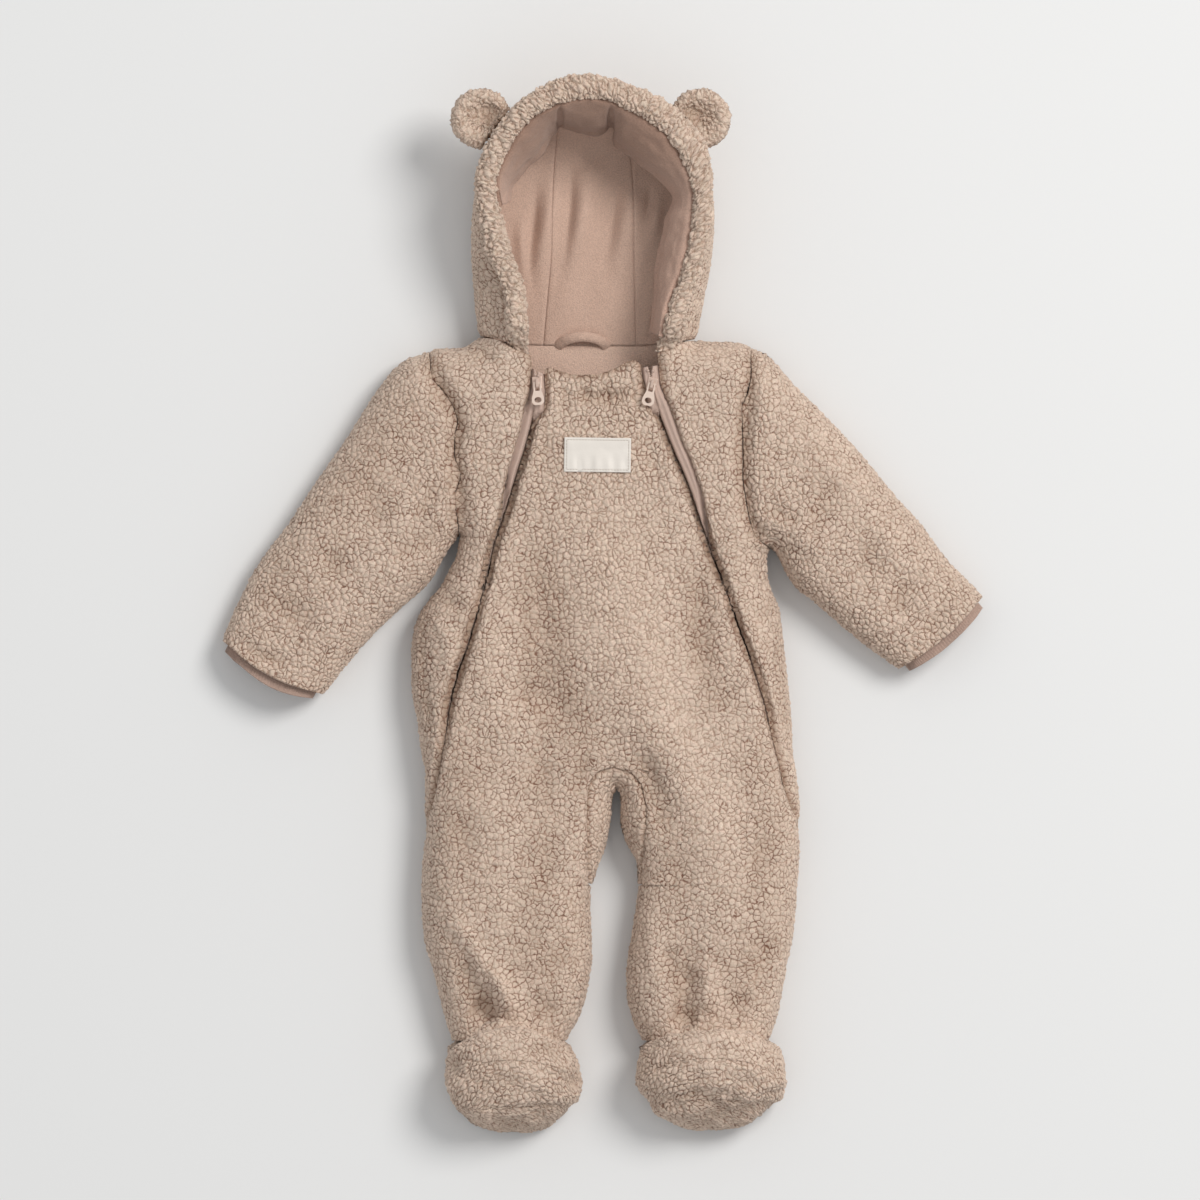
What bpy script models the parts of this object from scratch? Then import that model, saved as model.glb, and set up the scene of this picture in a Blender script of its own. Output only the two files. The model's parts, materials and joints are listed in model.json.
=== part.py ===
"""Baby's pramsuit of pile fleece with an eared hood, laid on its back and lightly filled out.
Metres, +Z up, hood towards +Y. The origin is the middle of its underside."""
import math

import bmesh
import bpy
import numpy as np

for ob in list(bpy.data.objects):
    bpy.data.objects.remove(ob, do_unlink=True)

# ---------------------------------------------------------------- sizes
UNIT = 0.00072          # one layout unit, in metres; x runs right, y runs down the garment
CX, CY = 602.5, 605.3   # layout position of the origin
PILE = 0.0050           # pile fleece, backing and curls together
SMOOTH = 0.0022         # smooth fleece
RIB = 0.0025            # rib knit
SEAM = 0.0002           # half of the gap between two sewn pieces
Z_EDGE = 0.0140         # height of the side edge, where front meets back
R_TOP = 0.030           # how far in from an edge the upper side rounds off
R_LOW = 0.015           # the same, underneath

# ---------------------------------------------------------------- outline tables, in layout units
# sleeves: upper edge x, y; lower edge x, y; how far the cross line bows towards the hand
SLEEVE_L = [(402, 361, 446, 556, 0), (379, 386, 429, 584, 0), (347, 436, 407, 604, 0), (315, 482, 384, 625, 0),
            (287, 524, 365, 645, 2), (260, 560, 347, 666, 4), (239, 599, 335, 681, 6), (221, 640, 324, 695, 8)]
SLEEVE_R = [(776, 362, 777, 556, 0), (796, 386, 787, 576, 0), (818, 407, 797, 590, 0), (861, 453, 808, 598, 0),
            (893, 492, 829, 616, 0), (922, 524, 857, 640, 2), (948, 559, 880, 657, 4), (984, 596, 898, 670, 6)]
SHOULDER_L = [(478, 337), (463, 346), (435, 348), (420, 354), (402, 361)]
SHOULDER_R = [(697, 340), (720, 341), (741, 342), (755, 348), (766, 353), (776, 362)]
# armhole seams: y, x
ARM_L = [(350, 428), (375, 432), (389, 441), (409, 453), (423, 457), (437, 455), (454, 454), (475, 459), (497, 456), (515, 457), (537, 459)]
ARM_R = [(345, 752), (372, 751), (395, 747), (409, 743), (440, 743), (474, 743), (500, 746), (520, 750), (537, 757), (549, 771)]
# outer edges of body and legs: y, x
EDGE_L = [(537, 459), (555, 455), (572, 447), (585, 440), (600, 428), (615, 418), (633, 412), (655, 410), (680, 410), (700, 412), (720, 416),
          (745, 419), (776, 424), (830, 424), (860, 421.5), (885, 420), (920, 421), (940, 423), (961, 429), (987, 436), (1016, 443), (1047, 453)]
EDGE_R = [(549, 771), (561, 768), (576, 769), (590, 773), (611, 781), (635, 784), (674, 788), (711, 792), (745, 793.5), (780, 798), (814, 801),
          (850, 801), (880, 799), (909, 797), (940, 794), (961, 789), (995, 783), (1018, 778), (1047, 768)]
# crotch gusset: y of its outer edge, outer x left, outer x right, gap edge x, y left, gap edge x, y right
GUSSET = [(884, 590.3, 640.0, 592.4, 884.3, 638.2, 884.3), (862, 589, 641, 598, 866, 637, 864), (840, 588, 644, 606, 845, 627, 844),
          (815, 587.5, 646, 610.5, 820, 620.5, 822), (790, 588.5, 643, 612.3, 801, 620.8, 804), (774, 596, 632, 614, 793.5, 620, 794),
          (767.5, 614, 614, 617, 789.5, 617, 789.5)]
# inner leg edges below the gusset: y, left x, right x
INSEAM = [(886, 591.8, 638.1), (905, 591.5, 635), (922, 592, 632.5), (939, 593, 630), (958, 593, 626.5), (976, 591, 625), (997, 587, 626),
          (1018, 580, 631), (1036, 570, 639), (1047, 565, 645)]
# zip lines: y, left x, right x
ZIP = [(345, 534, 648), (366, 536.5, 650), (385, 537, 652), (410, 533.5, 659), (443, 526, 671), (478, 515, 686), (515, 504, 699), (551, 492, 710), (594, 482, 727),
       (631, 471, 740), (670, 459, 755), (696, 451, 764), (737, 443, 775), (770, 436, 784), (800, 430, 792), (820, 426, 798)]
ZIP_END = 840.0
# upper edge of the front pieces, neckline and shoulders, and of the back: x, y
TOP_FRONT = [(478, 337), (495, 339.5), (512, 348), (526, 353.5), (534, 357.5), (546, 364), (560, 371), (580, 374.5),
             (595, 374.5), (612, 370), (629, 361), (640, 356), (648, 354), (657, 353), (672, 347), (684, 342), (697, 340)]
TOP_BACK = [(478, 337), (500, 341), (530, 345), (590, 347), (640, 346), (670, 343), (697, 340)]
CENTRE = [(340, 596), (450, 597), (560, 602), (640, 607), (720, 611), (767.5, 614)]
Y_HIP = 640.0
Y_HEM = 1041.0

# ---------------------------------------------------------------- small helpers
def curve1(tab, t, col=1):
    """Smooth one-to-one reading of a table's column against its first column."""
    a = np.array([[r[0], r[col]] for r in tab], float)
    a = a[np.argsort(a[:, 0])]
    x, y = a[:, 0], a[:, 1]
    m = np.diff(y) / np.diff(x)
    g = np.zeros(len(x)); g[0], g[-1] = m[0], m[-1]
    for i in range(1, len(x) - 1):
        g[i] = 0 if m[i - 1] * m[i] <= 0 else 2 / (1 / m[i - 1] + 1 / m[i]) if abs(m[i-1]*m[i]) > 1e-12 else 0
    t = np.clip(np.asarray(t, float), x[0], x[-1])
    k = np.clip(np.searchsorted(x, t) - 1, 0, len(x) - 2)
    h = x[k + 1] - x[k]; u = (t - x[k]) / h
    return ((1 + 2 * u) * (1 - u) ** 2 * y[k] + u * (1 - u) ** 2 * h * g[k] + u * u * (3 - 2 * u) * y[k + 1] + u * u * (u - 1) * h * g[k + 1])

def spline(points, n, closed=False):
    """n points spread evenly along a Catmull-Rom curve through the given ones."""
    p = np.array(points, float)
    e = np.vstack([2 * p[0] - p[1], p, 2 * p[-1] - p[-2]])
    out = []
    for i in range(1, len(e) - 2):
        a, b, c, d = e[i - 1], e[i], e[i + 1], e[i + 2]
        for u in np.linspace(0, 1, 24, endpoint=False):
            out.append(0.5 * (2 * b + (c - a) * u + (2 * a - 5 * b + 4 * c - d) * u ** 2 + (3 * b - a - 3 * c + d) * u ** 3))
    out.append(p[-1]); out = np.array(out)
    s = np.concatenate([[0], np.cumsum(np.linalg.norm(np.diff(out, axis=0), axis=1))])
    t = np.linspace(0, s[-1], n)
    return np.stack([np.interp(t, s, out[:, k]) for k in range(out.shape[1])], 1)

def metres(xy):
    xy = np.asarray(xy, float)
    return np.stack([(xy[..., 0] - CX) * UNIT, (CY - xy[..., 1]) * UNIT], -1)

def smooth01(t):
    t = np.clip(t, 0, 1); return t * t * (3 - 2 * t)

# ---------------------------------------------------------------- the outline of the laid garment, without hood and feet
def outline():
    up = lambda s: [(r[0], r[1]) for r in s]
    lo = lambda s: [(r[2], r[3]) for r in s][::-1]
    reach = 70.0
    def past(s):
        (ux, uy, lx, ly, _) = s[-1]
        dx, dy = lx - ux, ly - uy; k = reach / math.hypot(dx, dy)
        nx, ny = (-dy * k, dx * k) if s is SLEEVE_L else (dy * k, -dx * k)
        return [(ux + nx, uy + ny), (lx + nx, ly + ny)]
    gap_l = [(r[1], r[0]) for r in INSEAM][::-1] + [(r[3], r[4]) for r in GUSSET[1:]]
    gap_r = [(r[5], r[6]) for r in GUSSET[1:]][::-1][1:] + [(r[2], r[0]) for r in INSEAM]
    runs = [[(478, 200), (478, 337)], SHOULDER_L + up(SLEEVE_L)[1:], past(SLEEVE_L), lo(SLEEVE_L) + [(459, 537)], [(x, y) for y, x in EDGE_L],
            [(449, 1150), (569, 1150)], gap_l + gap_r, [(641, 1150), (772, 1150)], [(x, y) for y, x in EDGE_R][::-1],
            [(771, 549)] + lo(SLEEVE_R)[::-1], past(SLEEVE_R)[::-1], up(SLEEVE_R)[::-1][:-1] + SHOULDER_R[::-1], [(697, 340), (697, 200)]]
    pts = []
    for r in runs:
        r = np.array(r, float)
        if len(r) > 2:
            L = np.linalg.norm(np.diff(r, axis=0), axis=1).sum()
            r = spline(r, max(8, int(L / 9)))
        pts += list(map(tuple, r))
    keep = [pts[0]]
    for q in pts[1:]:
        if math.dist(q, keep[-1]) > 0.4: keep.append(q)
    return metres(keep)

OUT = outline()
SEG_A, SEG_B = OUT, np.roll(OUT, -1, axis=0)

def edge_distance(P):
    """Distance to the outline and the direction in from it, for plan points in metres."""
    P = np.asarray(P, float).reshape(-1, 2)
    d_all = np.empty(len(P)); g_all = np.empty((len(P), 2))
    ab = SEG_B - SEG_A; L2 = (ab ** 2).sum(1); inward = np.stack([-ab[:, 1], ab[:, 0]], 1) / np.sqrt(L2)[:, None]
    for i in range(0, len(P), 20000):
        p = P[i:i + 20000]
        ap = p[:, None, :] - SEG_A[None]
        t = np.clip((ap * ab[None]).sum(2) / L2[None], 0, 1)
        v = ap - t[..., None] * ab[None]
        dd = (v ** 2).sum(2); k = dd.argmin(1); r = np.arange(len(p))
        d = np.sqrt(dd[r, k]); g = v[r, k] / np.maximum(d, 1e-9)[:, None]
        near = d < 0.0004
        g[near] = inward[k[near]]
        d_all[i:i + 20000] = d; g_all[i:i + 20000] = g
    return d_all, g_all

def crown(P):
    """Height of the laid garment away from its edges."""
    x, y = np.abs(P[:, 0]), P[:, 1]
    arm = smooth01((x - 0.10) / 0.15) * smooth01((y + 0.10) / 0.06)
    return 0.0455 - 0.0115 * arm - 0.002 * smooth01((-0.16 - y) / 0.10)

def upper(P, lift=None):
    shape = P.shape[:-1]; P = P.reshape(-1, 2)
    d, g = edge_distance(P)
    h = crown(P) + (0 if lift is None else lift(P, d)); H = h - Z_EDGE
    c = 1 - np.minimum(d / R_TOP, 1.0); s = np.sqrt(np.maximum(1 - c * c, 0))
    e = 0.0006
    def hh(Q): return crown(Q) + (0 if lift is None else lift(Q, d))
    gx = (hh(P + [e, 0]) - hh(P - [e, 0])) / (2 * e); gy = (hh(P + [0, e]) - hh(P - [0, e])) / (2 * e)
    n = np.stack([-H * c * g[:, 0] - R_TOP * s * s * gx, -H * c * g[:, 1] - R_TOP * s * s * gy, R_TOP * s], 1)
    n /= np.linalg.norm(n, axis=1)[:, None]
    z = Z_EDGE + H * s
    return np.concatenate([P, z[:, None]], 1).reshape(*shape, 3), n.reshape(*shape, 3)

def lower(P):
    shape = P.shape[:-1]; P = P.reshape(-1, 2)
    d, g = edge_distance(P)
    c = 1 - np.minimum(d / R_LOW, 1.0); s = np.sqrt(np.maximum(1 - c * c, 0))
    n = np.stack([-Z_EDGE * c * g[:, 0], -Z_EDGE * c * g[:, 1], -R_LOW * s], 1)
    n /= np.linalg.norm(n, axis=1)[:, None]
    z = Z_EDGE * (1 - s)
    return np.concatenate([P, z[:, None]], 1).reshape(*shape, 3), n.reshape(*shape, 3)

# ---------------------------------------------------------------- rows and sections of body and legs
SHO_L = spline(SHOULDER_L + [(r[0], r[1]) for r in SLEEVE_L[1:]], 900)
SHO_R = spline(SHOULDER_R + [(r[0], r[1]) for r in SLEEVE_R[1:]], 900)

def row_y(w, x, front):
    """Row w at x: 0 is the top edge, 1 the armpits, 2 the hip; after it one row per 100 units."""
    x = np.asarray(x, float)
    top = curve1(TOP_FRONT if front else TOP_BACK, x)
    top = np.where(x < 478, np.interp(x, SHO_L[::-1, 0], SHO_L[::-1, 1]), np.where(x > 697, np.interp(x, SHO_R[:, 0], SHO_R[:, 1]), top))
    pit = 537 + (549 - 537) * (x - 459) / (771 - 459)
    return np.where(w <= 1, top + (pit - top) * np.minimum(w, 1), np.where(w <= 2, pit + (Y_HIP - pit) * (np.clip(w, 1, 2) - 1), Y_HIP + (w - 2) * 100))

def w_of_y(y): return 2 + (y - Y_HIP) / 100

def settle(fx, w, front, x0):
    x = np.full_like(w, x0, dtype=float)
    for _ in range(12): x = fx(row_y(w, x, front))
    return x

def outer_x(side, w, front):
    arm, edge = (ARM_L, EDGE_L) if side < 0 else (ARM_R, EDGE_R)
    x0 = 459.0 if side < 0 else 771.0
    return np.where(w < 1, settle(lambda y: curve1(arm, y), np.minimum(w, 1), front, x0), settle(lambda y: curve1(edge, y), np.maximum(w, 1), front, x0))

def inner_x(side, w, front):
    xc = settle(lambda y: curve1(CENTRE, y), w, front, 600.0)
    y = row_y(w, xc, front)
    g = curve1(GUSSET, y, 1 if side < 0 else 2)
    s = curve1(INSEAM, y, 1 if side < 0 else 2)
    return np.where(y <= 767.6, xc, np.where(y < 886, g, s))

def zip_x(side, w):
    zx = settle(lambda y: curve1(ZIP, y, 1 if side < 0 else 2), w, True, 536.0 if side < 0 else 650.0)
    ox = outer_x(side, w, True); y = row_y(w, ox, True)
    k = smooth01((y - 800) / (ZIP_END - 800))
    return zx * (1 - k) + ox * k

def section(w, xa, xb, cols, front, trim=(0, 0), lift=None):
    """Grid of surface points over rows w, from x = xa to xb, evenly spread along the cloth; trim cuts its ends back, in metres."""
    w = np.asarray(w, float); n = 220
    t = (1 - np.cos(np.linspace(0, np.pi, n))) / 2
    X = xa[:, None] + (xb - xa)[:, None] * t[None]
    Y = row_y(w[:, None], X, front)
    f = (lambda P: upper(P, lift)) if front else lower
    P, _ = f(metres(np.stack([X, Y], -1)))
    s = np.concatenate([np.zeros((len(w), 1)), np.cumsum(np.linalg.norm(np.diff(P, axis=1), axis=2), axis=1)], 1)
    Q = np.empty((len(w), cols + 1))
    for i in range(len(w)):
        a, b = np.broadcast_to(trim[0], len(w))[i], s[i, -1] - np.broadcast_to(trim[1], len(w))[i]
        if b - a < 0.0012: a, b = (a + b) / 2 - 0.0006, (a + b) / 2 + 0.0006
        u = np.linspace(0, 1, cols + 1)
        Q[i] = np.interp(a + (b - a) * u, s[i], t)
    X = xa[:, None] + (xb - xa)[:, None] * Q
    Y = row_y(w[:, None], X, front)
    return f(metres(np.stack([X, Y], -1)))

# ---------------------------------------------------------------- sleeves
def along(run, pts):
    s = np.concatenate([[0], np.cumsum(np.linalg.norm(np.diff(run, axis=0), axis=1))])
    return s, np.array([s[((run - np.array(p)) ** 2).sum(1).argmin()] for p in pts])

def sleeve_ends(side, k):
    """Upper and lower end of the sleeve's cross line at station k, 0 at the armhole, 8 at the hem."""
    tab, run_u = (SLEEVE_L, SHO_L) if side < 0 else (SLEEVE_R, SHO_R)
    root_u, root_l = ((428, 350.6), (459, 537)) if side < 0 else ((752, 346.8), (771, 549))
    run_l = spline([root_l] + [(r[2], r[3]) for r in tab], 900)
    ends = []
    for run, root, c in ((run_u, root_u, 0), (run_l, root_l, 2)):
        s, at = along(run, [root] + [(r[c], r[c + 1]) for r in tab])
        q = np.interp(k, np.arange(9), at)
        ends.append(np.stack([np.interp(q, s, run[:, 0]), np.interp(q, s, run[:, 1])], -1))
    bow = np.interp(k, np.arange(9), [0] + [r[4] for r in tab])
    return ends[0], ends[1], bow

def sleeve_grid(side, ks, ws, upper_side, lift=None, extra=0.0):
    """Sleeve points over stations ks, columns matched at the armhole to the body's rows ws; extra runs past the hem, in units."""
    ks = np.asarray(ks, float); ws = np.asarray(ws, float); n = 160
    q = (1 - np.cos(np.linspace(0, np.pi, n))) / 2
    rx = outer_x(side, np.minimum(q, 0.99999), True); ry = row_y(q, rx, True)
    root = np.stack([rx, ry], -1)
    U, L, bow = sleeve_ends(side, np.minimum(ks, 8))
    line = U[:, None] + (L - U)[:, None] * q[None, :, None]
    nrm = np.stack([-(L - U)[:, 1], (L - U)[:, 0]], -1) * (1 if side < 0 else -1)
    nrm = nrm / np.linalg.norm(nrm, axis=1)[:, None]
    past = np.maximum(ks - 8, 0) * 10
    line = line + (bow[:, None] * np.sin(np.pi * q)[None] + past[:, None])[..., None] * nrm[:, None]
    bend = np.maximum(0, 1 - ks / 2.5) ** 1.5
    line = line + bend[:, None, None] * (root - (root[0] + (root[-1] - root[0]) * q[:, None]))[None]
    f = (lambda P: upper(P, lift)) if upper_side else lower
    P, _ = f(metres(line))
    s = np.concatenate([np.zeros((len(ks), 1)), np.cumsum(np.linalg.norm(np.diff(P, axis=1), axis=2), axis=1)], 1)
    P0, _ = f(metres(root)); s0 = np.concatenate([[0], np.cumsum(np.linalg.norm(np.diff(P0, axis=0), axis=1))])
    fr = np.interp(ws, q, s0) / s0[-1]
    XY = np.empty((len(ks), len(ws), 2))
    for i in range(len(ks)):
        qq = np.interp(fr * s[i, -1], s[i], q)
        XY[i] = np.stack([np.interp(qq, q, line[i, :, 0]), np.interp(qq, q, line[i, :, 1])], -1)
    return f(metres(XY))

# ---------------------------------------------------------------- crotch gusset
def gusset_grid(ys, cols, trim=SEAM, lift=None):
    """Rows run over the arch from the left leg to the right; columns from the front seam round the edge to the back seam."""
    rows = [(y, 0) for y in ys] + [(y, 1) for y in ys[::-1] if y > 767.6]
    q = 1 - np.cos(np.linspace(0, np.pi / 2, 60)); P = []; N = []
    for half in (True, False):
        for y, r in rows:
            O = np.array([curve1(GUSSET, y, 1 + r), y]); G = np.array([curve1(GUSSET, y, 3 if not r else 5), curve1(GUSSET, y, 4 if not r else 6)])
            line = O + (G - O) * (1 - q[::-1])[:, None]
            p, _ = (upper(metres(line), lift) if half else lower(metres(line)))
            s = np.concatenate([[0], np.cumsum(np.linalg.norm(np.diff(p, axis=0), axis=1))])
            t = min(trim, s[-1] * 0.2)
            u = np.interp(np.linspace(t, s[-1], cols + 1), s, 1 - q[::-1])
            p, n = (upper(metres(O + (G - O) * u[:, None]), lift) if half else lower(metres(O + (G - O) * u[:, None])))
            P.append(p); N.append(n)
    m = len(rows); P = np.array(P); N = np.array(N)
    return np.concatenate([P[:m], P[m:, ::-1][:, 1:]], 1), np.concatenate([N[:m], N[m:, ::-1][:, 1:]], 1)

# ---------------------------------------------------------------- hood, laid open side up
# row; left: edge under the brim x, y, z mm; widest point x, y, z mm; centre seam x, y, z mm; right: the same
HOOD_L = [(0, 505, 345, 43, 478, 337, 14, 543, 346, 0), (1, 503, 296, 44.5, 474, 300, 20, 547, 300, 0), (2, 489, 255, 49, 471, 256, 24, 551, 256, 0),
          (3, 479, 215, 55, 472, 212, 28, 552, 215, 0), (4, 477, 175, 61, 479, 178, 32, 553, 180, 0), (5, 491, 140, 66, 493, 148, 35, 555, 150, 2),
          (6, 512, 112, 70, 515, 122, 38, 557, 126, 12), (7, 535, 96, 73, 538, 105, 44, 559, 108, 34), (8, 558, 87, 73, 560, 92, 56, 563, 95, 60)]
HOOD_R = [(0, 683, 343, 43, 697, 340, 14, 636, 346, 0), (1, 690, 304, 44.5, 704, 302, 20, 635, 300, 0), (2, 703, 262, 49, 712, 258, 24, 634, 256, 0),
          (3, 711, 215, 55, 714.5, 212, 28, 634, 215, 0), (4, 709, 170, 61, 708, 178, 32, 633, 180, 0), (5, 696, 138, 66, 694, 147, 35, 630, 150, 2),
          (6, 674, 111, 70, 672, 122, 38, 625, 126, 12), (7, 650, 96, 73, 648, 105, 44, 620, 108, 34), (8, 626, 87, 73, 624, 92, 56, 614, 95, 60)]
# brim roll: station; outer edge x, y; inner edge x, y; height of its middle, mm
BRIM = [(0, 507, 344, 529, 348, 51), (1, 504, 296, 525, 295, 54.6), (2, 489, 255, 512, 254, 58.6), (3, 478, 215, 503, 217, 63.6), (4, 476, 175, 497, 180, 68.6),
        (5, 490, 138, 511, 146, 73.6), (6, 511, 111, 529, 122, 77.6), (7, 535, 93, 550, 110, 80.4), (8, 560, 80, 569, 102, 82.2), (9, 584, 75.5, 590, 99, 83),
        (10, 612, 80, 611, 103, 82.2), (11, 642, 92, 633, 113, 80.4), (12, 676, 110, 658, 128, 77.6), (13, 699, 137, 680, 156, 73.6), (14, 711, 170, 692, 190, 68.6),
        (15, 713, 215, 691, 225, 63.6), (16, 704, 262, 683, 265, 58.6), (17, 690, 304, 669, 304, 54.6), (18, 681, 342, 659, 344, 51)]
# facing inside the brim: brim station; inner edge x, y
FACING = [(3.3, 507, 203), (3.9, 511, 184), (4.6, 523, 168), (5.3, 540, 150), (6.0, 552, 133), (6.9, 562, 126), (8.2, 579, 129.5), (9.3, 597, 132), (10.3, 612, 127),
          (11.1, 617, 143), (12.0, 640, 161), (13.0, 662, 180), (13.8, 675, 196), (14.8, 668, 222), (15.8, 661, 255), (16.8, 658, 290), (17.9, 652, 338)]

def column_splines(tab, t):
    """Every column of a table read smoothly at t, t being its first column."""
    a = np.array(tab, float); n = len(a)
    e = np.vstack([2 * a[0] - a[1], a, 2 * a[-1] - a[-2]])
    k = np.clip(np.searchsorted(a[:, 0], t, side="right") - 1, 0, n - 2)
    u = ((np.asarray(t, float) - a[k, 0]) / (a[k + 1, 0] - a[k, 0]))[:, None]
    A, B, C, D = e[k], e[k + 1], e[k + 2], e[k + 3]
    return 0.5 * (2 * B + (C - A) * u + (2 * A - 5 * B + 4 * C - D) * u ** 2 + (3 * B - A - 3 * C + D) * u ** 3)

def grid_normals(P, out):
    du = np.gradient(P, axis=1); dv = np.gradient(P, axis=0)
    n = np.cross(du, dv); L = np.linalg.norm(n, axis=2, keepdims=True)
    n = n / np.maximum(L, 1e-12)
    return n * out

def hood_half(side, vs, n_up, n_low):
    """Outer surface from the brim, over the widest point, down and in to the centre seam."""
    r = column_splines(HOOD_L if side < 0 else HOOD_R, vs)
    pt = lambda i: np.concatenate([metres(r[:, i:i + 2]), r[:, i + 2:i + 3] / 1000], 1)
    B, W, C = pt(1), pt(4), pt(7)
    B[:, 2] -= 0.0016
    th = np.linspace(np.pi / 2, 0, n_up + 1); a = (1 - np.cos(th))[None, :, None]
    up = W[:, None] + (B - W)[:, None] * a
    up[..., 2] = W[:, None, 2] + (B - W)[:, None, 2] * np.sin(th)[None]
    th = np.linspace(0, np.pi / 2, n_low + 1)[1:]; a = (1 - np.cos(th))[None, :, None]
    lo = W[:, None] + (C - W)[:, None] * a
    lo[..., 2] = C[:, None, 2] + (W - C)[:, None, 2] * (1 - np.sin(th) ** 0.62)[None]
    G = np.concatenate([up, lo], 1)
    # the neck row lies along the body's own top edges
    x = CX + G[0, :, 0] / UNIT; fx = x[:n_up + 1]; bx = x[n_up + 1:]
    f, nf = upper(metres(np.stack([fx, row_y(np.zeros(len(fx)), fx, True) - 0.7], 1)))
    b, nb = lower(metres(np.stack([bx, row_y(np.zeros(len(bx)), bx, False) - 0.7], 1)))
    R0 = np.concatenate([f, b]); k = (1 - smooth01(np.asarray(vs) / 1.0))[:, None, None]
    return G + (R0 - G[0])[None] * k, np.concatenate([nf, nb])

def hood_grid(vs, n_up, n_low, n_mid):
    """Whole hood, brim to brim; returns points, normals and the columns of the two centre seams."""
    L, nl = hood_half(-1, vs, n_up, n_low); R, nr = hood_half(1, vs, n_up, n_low); R = R[:, ::-1]
    t = np.linspace(0, 1, n_mid + 1)[1:-1][None, :, None]
    M = L[:, -1:] + (R[:, :1] - L[:, -1:]) * t
    P = np.concatenate([L, M, R], 1)
    N = grid_normals(P, 1)
    if N[len(vs) // 3, 0, 2] < 0 and N[len(vs) // 3, P.shape[1] // 2, 2] > 0: N = -N
    if N[len(vs) // 3, P.shape[1] // 2, 2] > 0: N = -N
    N[0] = np.concatenate([nl, np.repeat([[0, 0, -1.0]], M.shape[1], 0), nr[::-1]])
    return P, N, n_up + n_low, n_up + n_low + n_mid

def brim_frame(t):
    r = column_splines(BRIM, t)
    O, I = metres(r[:, 1:3]), metres(r[:, 3:5])
    c = (O + I) / 2; a = (I - O) / 2
    return np.concatenate([c, r[:, 5:6] / 1000], 1), np.concatenate([a, 0 * a[:, :1]], 1)

def brim_grid(t, n, half_height=0.0056):
    """Rings of the rolled brim: flattened round section."""
    c, a = brim_frame(t); ph = np.linspace(0, 2 * np.pi, n, endpoint=False)
    co, si = np.cos(ph), np.sin(ph)
    P = c[:, None] - a[:, None] * (np.sign(co) * np.abs(co) ** 0.9)[None, :, None]
    P[..., 2] += half_height * (np.sign(si) * np.abs(si) ** 0.9)[None]
    return P

def facing_grid(t, n):
    """Facing from the brim's inner side to its free edge, which turns down."""
    r = column_splines(BRIM, t); f = column_splines(FACING, t)
    I = metres(r[:, 3:5]); F = metres(f[:, 1:3]); O = metres(r[:, 1:3]); z = r[:, 5] / 1000
    inn = (F - I); L = np.maximum(np.linalg.norm(inn, axis=1), 1e-4)[:, None]; e = inn / L
    inn2 = (I - O) / np.linalg.norm(I - O, axis=1)[:, None]; e = e * 0.6 + inn2 * 0.4; e /= np.linalg.norm(e, axis=1)[:, None]
    A = I + inn2 * 0.0019; u = np.linspace(0, 1, n + 1)
    P = np.empty((len(t), n + 1, 3))
    for j, q in enumerate(u):
        k = math.sin(q * math.pi / 2)
        P[:, j, :2] = A + (F - A) * k - e * 0.0012 * max(q - 0.8, 0) / 0.2
        P[:, j, 2] = z + 0.0008 * math.sin(min(q * 4, 1) * math.pi) - 0.021 * q ** 1.25
    return P

# ---------------------------------------------------------------- ears
# centre x, y; radius; direction towards the hood, degrees from +x; how far the hood's edge is; middle height, mm
EARS = {"left": (481.5, 119.5, 31.0, -36.0, 20.0, 62.0), "right": (700.0, 119.5, 31.0, 216.0, 18.0, 62.0)}

def ear_grid(which, rings, spokes, front):
    """Rings from the middle outwards. The front is cupped, the back is domed."""
    cx, cy, rad, to_hood, chord, z0 = EARS[which]
    ph = np.linspace(0, 2 * np.pi, spokes, endpoint=False)
    c = metres((cx, cy)); th = math.radians(to_hood)
    rel = np.cos(ph - th)
    r = np.where(rel > 0.05, np.minimum(rad, (chord - 1.5) / np.maximum(rel, 0.05)), rad)
    r = r * UNIT
    rho = np.linspace(0, 1, rings + 1)[1:]
    P = np.empty((rings, spokes, 3))
    for i, q in enumerate(rho):
        P[i, :, 0] = c[0] + r * q * np.cos(ph); P[i, :, 1] = c[1] + r * q * np.sin(ph)
        if front: z = 0.0045 * math.sin(min(q / 0.72, 1) ** 2 * math.pi / 2) + (-0.0066 * (max(q - 0.72, 0) / 0.28) ** 2)
        else: z = -0.0048 - 0.0075 * math.sqrt(max(1 - q * q, 0)) ** 1.2
        P[i, :, 2] = z0 / 1000 + z
    m = np.array([c[0], c[1], z0 / 1000 + (0 if front else -0.0123)])
    return m, P

# ---------------------------------------------------------------- feet
# station; y over the top; y along the side; left x; right x; height, mm; side height, mm (left foot), then right foot
FOOT_L = [(0, 1029, 1046, 447, 571, 49, 17), (1, 1029, 1054, 445.5, 576, 57, 19), (2, 1038, 1066, 445, 579.5, 62, 21), (3, 1060, 1079, 445, 581, 64, 22),
          (4, 1084, 1093, 447, 578, 61, 21), (5, 1107, 1107, 453, 571, 51, 19), (6, 1121, 1118, 463, 560, 38, 16), (7, 1130, 1127, 478, 546, 25, 13), (8, 1134.5, 1134, 500, 526, 14, 9)]
FOOT_R = [(0, 1030, 1046, 637, 776, 49, 17), (1, 1030, 1053, 636, 780, 57, 19), (2, 1038, 1063, 635, 785, 62, 21), (3, 1058, 1077, 636, 786, 64, 22),
          (4, 1081, 1091, 640, 784, 61, 21), (5, 1103, 1104, 650, 775, 51, 19), (6, 1117, 1115, 660, 762, 38, 16), (7, 1126, 1124, 676, 748, 25, 13), (8, 1131, 1130, 699, 725, 14, 9)]

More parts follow.
